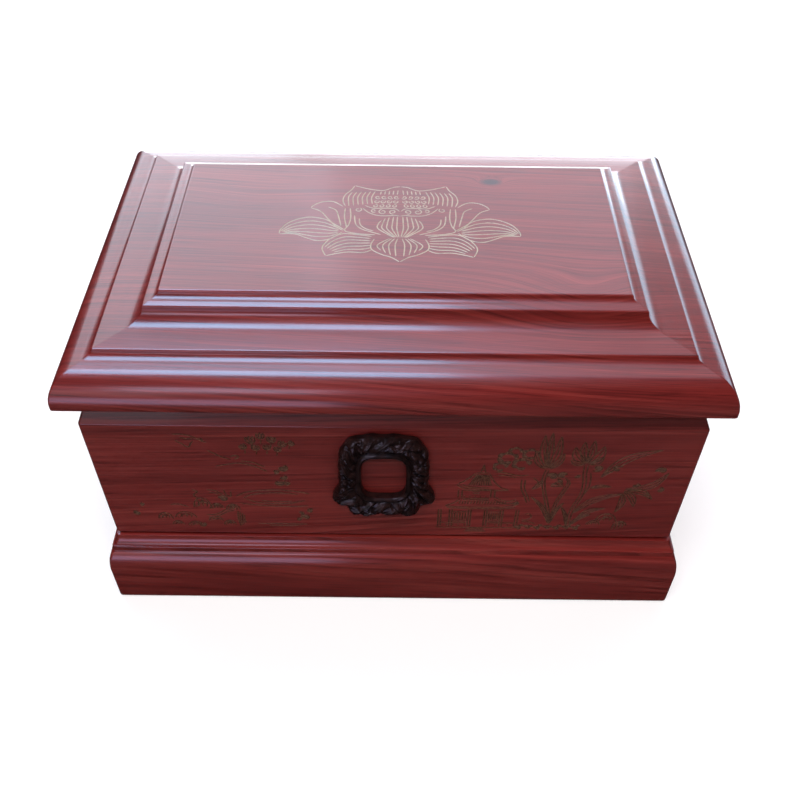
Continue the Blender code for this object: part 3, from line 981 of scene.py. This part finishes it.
def year_rings(tree, x, y, z, pith, knots):
    """Distance from a leaning, swaying pith, lifted round each knot, and where a knot's eye shows."""
    lean, height, beside = pith
    sway = noise(tree, stretched(tree, (x, y, z), SWAY_RATE), detail=3.0)
    sway = sums(tree, "MULTIPLY", sums(tree, "SUBTRACT", sway, 0.5), SWAY)
    aside = sums(tree, "ADD", sums(tree, "MULTIPLY", x, lean), beside)
    lean_y = sums(tree, "ADD", sums(tree, "ADD", y, sway), aside)
    rise = sums(tree, "MULTIPLY", x, RISE_OF_PITH)
    lean_z = sums(tree, "ADD", sums(tree, "SUBTRACT", z, height), rise)
    squares = [sums(tree, "MULTIPLY", part, part) for part in (lean_y, lean_z)]
    ring = sums(tree, "SQRT", sums(tree, "ADD", *squares))
    eye = None
    for knot_x, knot_y, size, lift, eyed in knots:
        off_x = sums(tree, "MULTIPLY", sums(tree, "SUBTRACT", x, knot_x), KNOT_LENGTH / size)
        off_y = sums(tree, "DIVIDE", sums(tree, "SUBTRACT", y, knot_y), size)
        gap = sums(tree, "ADD", *[sums(tree, "MULTIPLY", part, part) for part in (off_x, off_y)])
        bulge = sums(tree, "DIVIDE", lift * KNOT_SOFTNESS, sums(tree, "ADD", gap, KNOT_SOFTNESS))
        ring = sums(tree, "ADD", ring, bulge)
        if eyed:
            eye = remap(tree, gap, *KNOT_EYE, 1.0, 0.0)
    return ring, eye


def shaded(tree, wood, strength, shade, place):
    """The wood made darker where a value is low."""
    return blended(tree, "MULTIPLY", strength, wood, ramp(tree, place, ((0.0, shade), (1.0, WHITE))))


def rosewood(name, finish, turn=0.0, shift=(0.0, 0.0, 0.0), pith=(0.0, 0.0, 0.0), knots=()):
    """Lacquered rosewood: year rings about a pith, with streaks, thin dark lines, pores and knots."""
    material, tree, shader = new_material(name)
    vector, x, y, z = grain_space(tree, turn, shift)
    ring, eye = year_rings(tree, x, y, z, pith, knots)
    bands = noise(tree, stretched(tree, (x, ring, 0.0), BAND_RATE), detail=4.0, roughness=0.6)
    streaks = noise(tree, stretched(tree, (x, ring, y), STREAK_RATE), detail=5.0, roughness=0.68)
    lines = noise(tree, stretched(tree, (x, ring, LINE_PLACE), LINE_RATE), detail=2.0, roughness=0.4)
    fibres = noise(tree, stretched(tree, (x, y, z), FIBRE_RATE), detail=2.0)
    clouds = noise(tree, stretched(tree, (x, y, z), CLOUD_RATE), detail=2.0)
    tone = sums(tree, "ADD", sums(tree, "MULTIPLY", bands, BAND_SHARE),
                sums(tree, "MULTIPLY", streaks, STREAK_SHARE))
    tone = sums(tree, "ADD", tone, sums(tree, "MULTIPLY", clouds, CLOUD_SHARE))
    wood = ramp(tree, tone, tuple(zip(TONE_STOPS, (finish.wood_dark, finish.wood_mid, finish.wood_light))))
    pores = remap(tree, fibres, *PORE_RANGE)
    wood = shaded(tree, wood, PORE_STRENGTH, PORE_SHADE, pores)
    off_line = sums(tree, "ABSOLUTE", sums(tree, "SUBTRACT", lines, 0.5))
    wood = shaded(tree, wood, LINE_STRENGTH, LINE_SHADE, remap(tree, off_line, 0.0, LINE_HALF_WIDTH))
    if eye is not None:
        wood = blended(tree, "MIX", eye, wood, finish.knot)
    tree.links.new(wood, shader.inputs["Base Color"])
    follow_roughness(tree, shader, streaks, 0.30, 0.42)
    shader.inputs["Coat Weight"].default_value = finish.gloss
    shader.inputs["Coat Roughness"].default_value = finish.lacquer_roughness
    shader.inputs["Specular IOR Level"].default_value = 0.5
    relief = sums(tree, "ADD", sums(tree, "MULTIPLY", pores, 0.5), sums(tree, "MULTIPLY", streaks, 0.8))
    fine = bump(tree, relief, 0.25, 0.00012)
    ripple = noise(tree, vector, scale=45.0, detail=2.0)
    tree.links.new(bump(tree, ripple, 0.06, 0.0012, fine), shader.inputs["Normal"])
    return material


def cut_wood(name, finish):
    """The inside of a cut line: dull brown wood under a thin coat."""
    material, tree, shader = new_material(name)
    vector = grain_space(tree)[0]
    flecks = noise(tree, vector, scale=900.0, detail=3.0)
    shade = ramp(tree, flecks, ((0.3, finish.cut_dark), (0.7, finish.cut_light)))
    tree.links.new(shade, shader.inputs["Base Color"])
    shader.inputs["Roughness"].default_value = 0.60
    shader.inputs["Specular IOR Level"].default_value = 0.15
    shader.inputs["Coat Weight"].default_value = finish.gloss * 0.10
    shader.inputs["Coat Roughness"].default_value = 0.35
    tree.links.new(bump(tree, flecks, 0.3, 0.0001), shader.inputs["Normal"])
    return material


def gilt_paint(name, finish):
    """Gold coloured paint, a little patchy where it meets the wood."""
    material, tree, shader = new_material(name)
    vector = grain_space(tree)[0]
    patches = noise(tree, vector, scale=420.0, detail=4.0)
    dull = tuple(part * 0.62 for part in finish.gilt)
    shade = ramp(tree, patches, ((0.32, dull), (0.55, finish.gilt)))
    tree.links.new(shade, shader.inputs["Base Color"])
    shader.inputs["Metallic"].default_value = 0.25
    follow_roughness(tree, shader, patches, 0.38, 0.55)
    tree.links.new(bump(tree, patches, 0.25, 0.0001), shader.inputs["Normal"])
    return material


def stained_carving(name, finish):
    """The carved frame's near black gloss, a little browner in patches."""
    material, tree, shader = new_material(name)
    vector = grain_space(tree)[0]
    mottle = noise(tree, vector, scale=260.0, detail=4.0, roughness=0.6)
    shade = ramp(tree, mottle, ((0.38, finish.carving), (0.72, finish.carving_worn)))
    tree.links.new(shade, shader.inputs["Base Color"])
    follow_roughness(tree, shader, mottle, 0.30, 0.48)
    shader.inputs["Specular IOR Level"].default_value = 0.30
    shader.inputs["Coat Weight"].default_value = 0.22
    shader.inputs["Coat Roughness"].default_value = 0.12
    tree.links.new(bump(tree, noise(tree, vector, scale=1500.0, detail=3.0), 0.25, 0.0002),
                   shader.inputs["Normal"])
    return material


def raw_board(name, finish):
    """Plain unfinished board with soft grain."""
    material, tree, shader = new_material(name)
    places = grain_space(tree)[1:]
    streaks = noise(tree, stretched(tree, places, RAW_RATE), detail=4.0)
    dark = tuple(part * 0.55 for part in finish.raw_wood)
    shade = ramp(tree, streaks, ((0.3, dark), (0.65, finish.raw_wood)))
    tree.links.new(shade, shader.inputs["Base Color"])
    follow_roughness(tree, shader, streaks, 0.55, 0.72)
    tree.links.new(bump(tree, streaks, 0.4, 0.0003), shader.inputs["Normal"])
    return material


# Carved frame: angles in degrees run from its right side over its top

OPENING_SQUARENESS = 4.0
OUTLINE_SQUARENESS = 3.6
EAR = 0.0050
EAR_ANGLE = 56
FOOT = 0.0024
FOOT_ANGLE = 24
LOBE_SPREAD = 17
SCALLOPS = 18
SCALLOP_SHARE = 0.012
LIP_SHARE = 0.24
LIP_START = 0.12
GROOVE_THICKNESS = 0.0030
EDGE_THICKNESS = 0.0022
LEAF_FULLNESS = 0.7
LEAF_DRIFT = 1.6
LEAF_LEAN = 2.5
LEAF_CUT = 0.24
CREASE_PLACES = (5.2, 6.4, 1.3)
CREASE_SHARPNESS = 5.0
CREASE_CUT = 0.30
VEIN_CUT = 0.05
PEARL_PLACE = 0.86
PEARL_HALF_WIDTH = 0.10
PEARL_HEIGHT = 0.00045
PEARL_STEEPNESS = 4.5
RING_STEPS = 540
BAND_STEPS = 44


def superellipse(angle, half_width, half_height, power):
    """Distance from the centre to a rectangle with full round corners."""
    across = abs(math.cos(angle) / half_width) ** power
    up = abs(math.sin(angle) / half_height) ** power
    return (across + up) ** (-1 / power)


def swelling(angle, centre, spread):
    """A smooth bump of height 1 at one angle, in degrees."""
    away = (math.degrees(angle) - centre + 180) % 360 - 180
    if abs(away) >= spread:
        return 0.0
    return math.cos(math.radians(90 * away / spread)) ** 2


def outline_radius(angle, sizes):
    """The carved outline: a rounded rectangle with scallops, ears and two foot lobes."""
    half_width = sizes.opening_half_width + sizes.side_border
    half_height = sizes.opening_half_height + sizes.top_border
    radius = superellipse(angle, half_width, half_height, OUTLINE_SQUARENESS)
    for mirror in (1, -1):
        radius += EAR * swelling(angle, 270 + mirror * EAR_ANGLE, LOBE_SPREAD)
        radius += FOOT * swelling(angle, 270 + mirror * FOOT_ANGLE, LOBE_SPREAD)
    return radius * (1 + SCALLOP_SHARE * math.cos(SCALLOPS * angle))


def pearls(angle, band):
    """Height of the row of small beads near the outer edge."""
    off_row = (band - PEARL_PLACE) / PEARL_HALF_WIDTH
    if abs(off_row) >= 1:
        return 0.0
    pearl = math.tanh(PEARL_STEEPNESS * math.sin(2 * SCALLOPS * angle)) * 0.5 + 0.5
    return PEARL_HEIGHT * (1 - off_row * off_row) * max(0.0, pearl)


def carving_height(angle, across, sizes):
    """Thickness of the carving at a place between the opening and the outer edge."""
    if across <= LIP_SHARE:
        lip = math.sin(math.pi * (LIP_START + (1 - LIP_START) * across / LIP_SHARE))
        return GROOVE_THICKNESS + (sizes.lip - GROOVE_THICKNESS) * lip
    band = (across - LIP_SHARE) / (1 - LIP_SHARE)
    swell = max(0.0, math.sin(math.pi * band)) ** LEAF_FULLNESS
    phase = SCALLOPS * angle + LEAF_DRIFT * math.sin(3 * angle) + LEAF_LEAN * math.pi * band
    turn, tall, deep = CREASE_PLACES
    spot = Vector((turn * math.cos(angle), tall * math.sin(angle), deep * band))
    crease = 1 - min(1.0, abs(solid_noise.noise(spot)) * CREASE_SHARPNESS)
    scroll = 1 - LEAF_CUT * (1 - math.cos(phase)) - CREASE_CUT * crease
    veins = VEIN_CUT * math.cos(4 * phase + 6 * band) * swell
    floor = GROOVE_THICKNESS + (EDGE_THICKNESS - GROOVE_THICKNESS) * band
    height = floor + (sizes.relief - floor) * swell * (scroll + veins) + pearls(angle, band)
    return min(height, sizes.relief)


def build_frame_carving(sizes):
    """A fine grid wrapped round the opening, raised into leaves, and closed with a flat back."""
    deselect_all()
    bpy.ops.mesh.primitive_grid_add(x_subdivisions=RING_STEPS, y_subdivisions=BAND_STEPS, size=2.0)
    piece = bpy.context.object
    piece.name = "frame_carving"
    centre_x = (CARVING_LOW.x + CARVING_HIGH.x) / 2
    centre_z = CARVING_HIGH.z - sizes.opening_half_height - sizes.top_border
    back = CARVING_HIGH.y
    for vertex in piece.data.vertices:
        angle = math.pi * (vertex.co.x + 1.0)
        across = (vertex.co.y + 1.0) / 2
        inner = superellipse(angle, sizes.opening_half_width, sizes.opening_half_height, OPENING_SQUARENESS)
        radius = inner + (outline_radius(angle, sizes) - inner) * across
        height = carving_height(angle, across, sizes)
        vertex.co = (centre_x + radius * math.cos(angle), back - height, centre_z + radius * math.sin(angle))
    bpy.ops.object.mode_set(mode="EDIT")
    bpy.ops.mesh.select_all(action="SELECT")
    bpy.ops.mesh.remove_doubles(threshold=MERGE)
    select_where(piece, "EDGE", lambda edge: edge.is_boundary)
    bpy.ops.mesh.extrude_region_move()
    bpy.ops.transform.resize(value=(1.0, 0.0, 1.0), center_override=(0.0, back, 0.0))
    bpy.ops.mesh.bridge_edge_loops()
    face_outwards(piece)
    bpy.ops.object.mode_set(mode="OBJECT")
    return piece


# Boards and mouldings

FACINGS = {"front": (0, -1), "back": (0, 1), "left": (-1, 0), "right": (1, 0)}


def build_ring(name, profile, wall, corner, low, rebate=None):
    """A hollow rectangle of boards: its outside raised ring by ring, its inside cut down."""
    rings = [(CASE_HALF_X + out, CASE_HALF_Y + out, z) for out, z in profile]
    piece = start_slab(name, *rings[0], corner)
    raise_rings(rings)
    inner = [(CASE_HALF_X - wall, CASE_HALF_Y - wall, rings[-1][2])]
    if rebate is None:
        inner.append((*inner[0][:2], low))
    else:
        width, height = rebate
        inner.append((*inner[0][:2], height))
        inner.append((CASE_HALF_X - wall + width, CASE_HALF_Y - wall + width, height))
        inner.append((*inner[-1][:2], low))
    raise_rings(inner)
    select_where(piece, "FACE", lambda face: len(face.verts) > 4)
    bpy.ops.mesh.delete(type="FACE")
    select_where(piece, "EDGE", lambda edge: edge.is_boundary)
    bpy.ops.mesh.bridge_edge_loops()
    face_outwards(piece)
    bpy.ops.object.mode_set(mode="OBJECT")
    return piece


def cut_board(ring, name, side, gap):
    """One side of a ring of boards, its ends sawn at 45 degrees."""
    piece = ring.copy()
    piece.data = ring.data.copy()
    piece.name = name
    piece.data.name = name
    bpy.context.scene.collection.objects.link(piece)
    focus(piece)
    bpy.ops.object.mode_set(mode="EDIT")
    facing = FACINGS[side]
    for turn in (-1, 1):
        across = (facing[1] * turn, facing[0] * turn)
        normal = Vector((across[0] - facing[0], across[1] - facing[1], 0.0)).normalized()
        end_x = CASE_HALF_X * (facing[0] + across[0])
        end_y = CASE_HALF_Y * (facing[1] + across[1])
        place = Vector((end_x, end_y, 0.0)) - normal * gap / 2
        bpy.ops.mesh.select_all(action="SELECT")
        bpy.ops.mesh.bisect(plane_co=place, plane_no=normal, use_fill=True, clear_outer=True)
    face_outwards(piece)
    bpy.ops.object.mode_set(mode="OBJECT")
    return piece


# Swirls in the lid's grain: middle, half width, how far they lift the grain, and if a knot shows
LID_KNOTS = (
    (0.0475, 0.0365, 0.0042, 0.015, True),
    (0.0850, -0.0480, 0.0260, 0.016, False),
    (-0.0700, 0.0200, 0.0300, 0.006, False),
)


# How each wood's pith leans, its height, and how far to the side it lies
LID_PITH = (0.05, 0.10, 0.20)
CASE_PITH = (0.05, 0.02, 0.0)
PLINTH_PITH = (0.02, 0.10, 0.0)

# Each side of the case and plinth, and how far its grain is turned
SIDES = {"front": 0.0, "back": 0.0, "left": math.pi / 2, "right": math.pi / 2}

# Where in the log the first board is cut, and the step to each next one
CASE_LOG = ((0.0, 0.0, 0.0), (0.37, 0.05, 0.02))
PLINTH_LOG = ((0.21, 0.0, 0.05), (0.40, 0.03, 0.0))


def log_place(first, step, k):
    """Where in the log a board is cut, so that no two boards share their grain."""
    return tuple(part + stride * k for part, stride in zip(first, step))


class BuildLid(Operator):
    """Build the routed lid with its gilt lotus"""

    bl_idname = "urn_box.build_lid"
    bl_label = "Lid"

    def execute(self, context):
        sizes, finish, carving = context.scene.urn_lid, context.scene.urn_finish, context.scene.urn_carving
        half_x, half_y = LID_HIGH.x, LID_HIGH.y
        underside = LID_LOW.z + sizes.tongue_depth
        rings = []
        for inset, height in lid_profile(sizes):
            rings.append((half_x - inset, half_y - inset, underside + height))
        piece = start_slab("lid_board", *rings[0], sizes.corner_round)
        raise_rings(rings)
        select_where(piece, "FACE", lambda face: len(face.verts) > 4
                     and face.calc_center_median().z < underside + MERGE)
        tongue_x, tongue_y = CASE_HALF_X - sizes.tongue_inset, CASE_HALF_Y - sizes.tongue_inset
        chamfer = sizes.tongue_chamfer
        raise_rings([rings[0], (tongue_x, tongue_y, underside),
                     (tongue_x, tongue_y, LID_LOW.z + chamfer),
                     (tongue_x - chamfer, tongue_y - chamfer, LID_LOW.z)])
        face_outwards(piece)
        bpy.ops.object.mode_set(mode="OBJECT")
        top = LID_HIGH.z
        facing = Vector((0, 0, 1))
        engrave(piece, facing, lambda co: (co.x / MM, co.y / MM),
                lambda x, y, depth: (x * MM, y * MM, top - depth * MM), lotus_lines(),
                carving.gilt_line / MM, carving.gilt_slope)
        wood = rosewood("rosewood_lid", finish, pith=LID_PITH, knots=LID_KNOTS)
        settle(piece, "lid", [wood, gilt_paint("gilt_lotus", finish)], facing)
        return {"FINISHED"}


class BuildCase(Operator):
    """Build the four boards of the case, the front one engraved"""

    bl_idname = "urn_box.build_case"
    bl_label = "Case"

    def execute(self, context):
        sizes, finish, carving = context.scene.urn_case, context.scene.urn_finish, context.scene.urn_carving
        ring = build_ring("case_ring", case_profile(sizes), sizes.wall, sizes.corner_round, CASE_LOW.z)
        front_y = CASE_LOW.y
        for k, (side, turn) in enumerate(SIDES.items()):
            piece = cut_board(ring, f"case_{side}_board", side, sizes.mitre_gap)
            place = log_place(*CASE_LOG, k)
            materials = [rosewood(f"rosewood_case_{side}", finish, turn, place, CASE_PITH)]
            facing = None
            if side == "front":
                facing = Vector((0, -1, 0))
                materials.append(cut_wood("cut_lines", finish))
                engrave(piece, facing, lambda co: (co.x / MM, co.z / MM),
                        lambda x, z, depth: (x * MM, front_y + depth * MM, z * MM), front_lines(),
                        carving.cut_line / MM, carving.cut_slope)
            settle(piece, f"case_{side}", materials, facing)
        bpy.data.objects.remove(ring)
        return {"FINISHED"}


class BuildPlinth(Operator):
    """Build the four lengths of the plinth's moulding"""

    bl_idname = "urn_box.build_plinth"
    bl_label = "Plinth"

    def execute(self, context):
        sizes, finish = context.scene.urn_case, context.scene.urn_finish
        ring = build_ring("plinth_ring", plinth_profile(sizes), sizes.wall, sizes.plinth_corner,
                          PLINTH_LOW.z, (sizes.rebate, BOARD_TOP + BOARD_GAP))
        for k, (side, turn) in enumerate(SIDES.items()):
            piece = cut_board(ring, f"plinth_{side}_moulding", side, sizes.mitre_gap)
            place = log_place(*PLINTH_LOG, k)
            wood = rosewood(f"rosewood_plinth_{side}", finish, turn, place, PLINTH_PITH)
            settle(piece, f"plinth_{side}", [wood])
        bpy.data.objects.remove(ring)
        return {"FINISHED"}


class BuildCarvedFrame(Operator):
    """Build the dark carved frame on the front"""

    bl_idname = "urn_box.build_carved_frame"
    bl_label = "Carved frame"

    def execute(self, context):
        piece = build_frame_carving(context.scene.urn_carving)
        dark = stained_carving("stained_carving", context.scene.urn_finish)
        settle(piece, "carved_frame", [dark])
        return {"FINISHED"}


class DressBottomBoard(Operator):
    """Give the bottom board its unfinished wood"""

    bl_idname = "urn_box.dress_bottom_board"
    bl_label = "Bottom board"

    def execute(self, context):
        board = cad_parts["bottom_board"]
        board.data.materials.clear()
        board.data.materials.append(raw_board("raw_board", context.scene.urn_finish))
        return {"FINISHED"}


# Studio

MIDDLE = (0.0, 0.0, CASE_HIGH.z)
FLOOR_SIZE = 8.0
SENSOR = 36.0

# Each light: its brightness setting, place, the point it looks at (None looks straight down),
# size and tint. One that is "mirrored" is seen in the lacquer alone, and a "soft" one never in it.
LIGHTS = {
    "skylight": ("sky_glow", (-0.35, 0.285, 1.44), None, (0.90, 0.67), (0.32, 0.64, 1.0), "mirrored"),
    "ceiling": ("ceiling_glow", (-0.10, 0.70, 1.45), None, (1.80, 0.90), (0.95, 0.82, 0.95), "both"),
    "top_soft": ("top_glow", (0.0, -0.50, 1.50), MIDDLE, (1.20, 0.80), (1.0, 0.96, 0.96), "soft"),
    "back_window": ("window_glow", (-0.72, 1.55, 0.95), MIDDLE, (1.05, 1.30), (0.74, 0.86, 1.0), "both"),
    "back_wall": ("wall_glow", (0.24, 1.55, 0.95), MIDDLE, (0.90, 1.30), (0.92, 0.84, 1.0), "both"),
    "horizon": ("horizon_glow", (0.10, 1.60, 0.38), MIDDLE, (1.90, 0.50), (0.85, 0.93, 1.0), "mirrored"),
    "side_window": ("side_glow", (1.20, 1.30, 0.42), MIDDLE, (1.30, 0.80), (0.56, 0.80, 1.0), "mirrored"),
    "front_window": ("front_glow", (-0.47, -1.30, 0.74), MIDDLE, (0.56, 0.40), (0.80, 0.72, 1.0),
                     "mirrored"),
    "front_fill": ("fill_glow", (-1.0, -1.30, 0.35), MIDDLE, (0.80, 0.50), (0.88, 0.90, 1.0), "both"),
    "low_card": ("sheen_glow", (-0.62, -1.30, -0.30), (-0.62, 0.0, -0.30), (0.90, 0.50),
                 (0.72, 0.62, 1.0), "mirrored"),
}


def area_light(name, place, target, size, glow, tint, seen):
    """A soft rectangular light. Its glow is how bright its face is, whatever its size."""
    data = bpy.data.lights.new(name, "AREA")
    data.shape = "RECTANGLE"
    data.size, data.size_y = size
    data.energy = glow * math.pi * size[0] * size[1]
    data.color = tint
    light = bpy.data.objects.new(name, data)
    bpy.context.scene.collection.objects.link(light)
    light.location = place
    light.visible_camera = False
    light.visible_diffuse = seen != "mirrored"
    light.visible_glossy = seen != "soft"
    if target is not None:
        light.rotation_mode = "QUATERNION"
        light.rotation_quaternion = (Vector(target) - Vector(place)).to_track_quat("-Z", "Y")


def lay_floor(stage, finish):
    """The pale floor, which glows a little and isn't mirrored in the lacquer."""
    deselect_all()
    bpy.ops.mesh.primitive_plane_add(size=FLOOR_SIZE, location=(0.0, 0.0, 0.0))
    floor = bpy.context.object
    floor.name = "studio_floor"
    material, tree, shader = new_material("studio_floor")
    shader.inputs["Base Color"].default_value = (*finish.floor, 1.0)
    shader.inputs["Roughness"].default_value = 0.9
    shader.inputs["Emission Color"].default_value = (1.0, 1.0, 1.0, 1.0)
    shader.inputs["Emission Strength"].default_value = stage.floor_glow
    floor.data.materials.append(material)
    floor.visible_glossy = False


def light_room(scene, stage):
    """White light from all round, and the table of lights."""
    world = bpy.data.worlds.new("studio_room")
    world.use_nodes = True
    background = world.node_tree.nodes["Background"]
    background.inputs["Color"].default_value = (1.0, 1.0, 1.0, 1.0)
    background.inputs["Strength"].default_value = stage.room_light
    world.cycles_visibility.glossy = False
    scene.world = world
    for name, (setting, place, target, size, tint, seen) in LIGHTS.items():
        area_light(name, place, target, size, getattr(stage, setting), tint, seen)


def place_camera(scene, stage):
    """The camera that sees the box as the photo does."""
    data = bpy.data.cameras.new("photo_camera")
    data.lens = stage.camera_lens
    data.sensor_width = SENSOR
    data.clip_start, data.clip_end = 0.01, 50.0
    camera = bpy.data.objects.new("photo_camera", data)
    scene.collection.objects.link(camera)
    turn = (Matrix.Rotation(stage.camera_yaw, 4, "Z")
            @ Matrix.Rotation(math.pi / 2 - stage.camera_pitch, 4, "X")
            @ Matrix.Rotation(stage.camera_roll, 4, "Z"))
    camera.matrix_world = Matrix.Translation(Vector(stage.camera_place)) @ turn
    scene.camera = camera


class BuildStage(Operator):
    """Set the pale floor, the soft lights and the camera"""

    bl_idname = "urn_box.build_stage"
    bl_label = "Studio"

    def execute(self, context):
        scene, stage = context.scene, context.scene.urn_stage
        lay_floor(stage, scene.urn_finish)
        light_room(scene, stage)
        place_camera(scene, stage)
        scene.view_settings.view_transform = "Standard"
        return {"FINISHED"}


class UrnBoxPanel(Panel):
    """The urn box in the 3D view's sidebar"""

    bl_idname = "VIEW3D_PT_urn_box"
    bl_label = "Keepsake urn box"
    bl_space_type = "VIEW_3D"
    bl_region_type = "UI"
    bl_category = "Urn box"

    def draw(self, context):
        for operator in OPERATORS:
            self.layout.operator(operator.bl_idname)
        for group in SETTINGS:
            values = getattr(context.scene, group)
            box = self.layout.box()
            for key in values.bl_rna.properties.keys():
                if key not in ("rna_type", "name"):
                    box.prop(values, key)


SETTINGS = {
    "urn_lid": UrnLidSizes,
    "urn_case": UrnCaseSizes,
    "urn_carving": UrnCarvingSizes,
    "urn_finish": UrnFinish,
    "urn_stage": UrnStage,
}
OPERATORS = (BuildStage, BuildPlinth, BuildCase, BuildLid, BuildCarvedFrame, DressBottomBoard)


def register():
    """Register every class and hang the settings on the scene."""
    for group, kind in SETTINGS.items():
        bpy.utils.register_class(kind)
        setattr(bpy.types.Scene, group, PointerProperty(type=kind))
    for operator in OPERATORS:
        bpy.utils.register_class(operator)
    bpy.utils.register_class(UrnBoxPanel)


def unregister():
    """Take the classes and settings away again."""
    bpy.utils.unregister_class(UrnBoxPanel)
    for operator in reversed(OPERATORS):
        bpy.utils.unregister_class(operator)
    for group, kind in SETTINGS.items():
        delattr(bpy.types.Scene, group)
        bpy.utils.unregister_class(kind)


def main():
    register()
    bpy.ops.urn_box.build_stage()
    bpy.ops.urn_box.build_plinth()
    bpy.ops.urn_box.build_case()
    bpy.ops.urn_box.build_lid()
    bpy.ops.urn_box.build_carved_frame()
    bpy.ops.urn_box.dress_bottom_board()


if __name__ == "__main__":
    main()
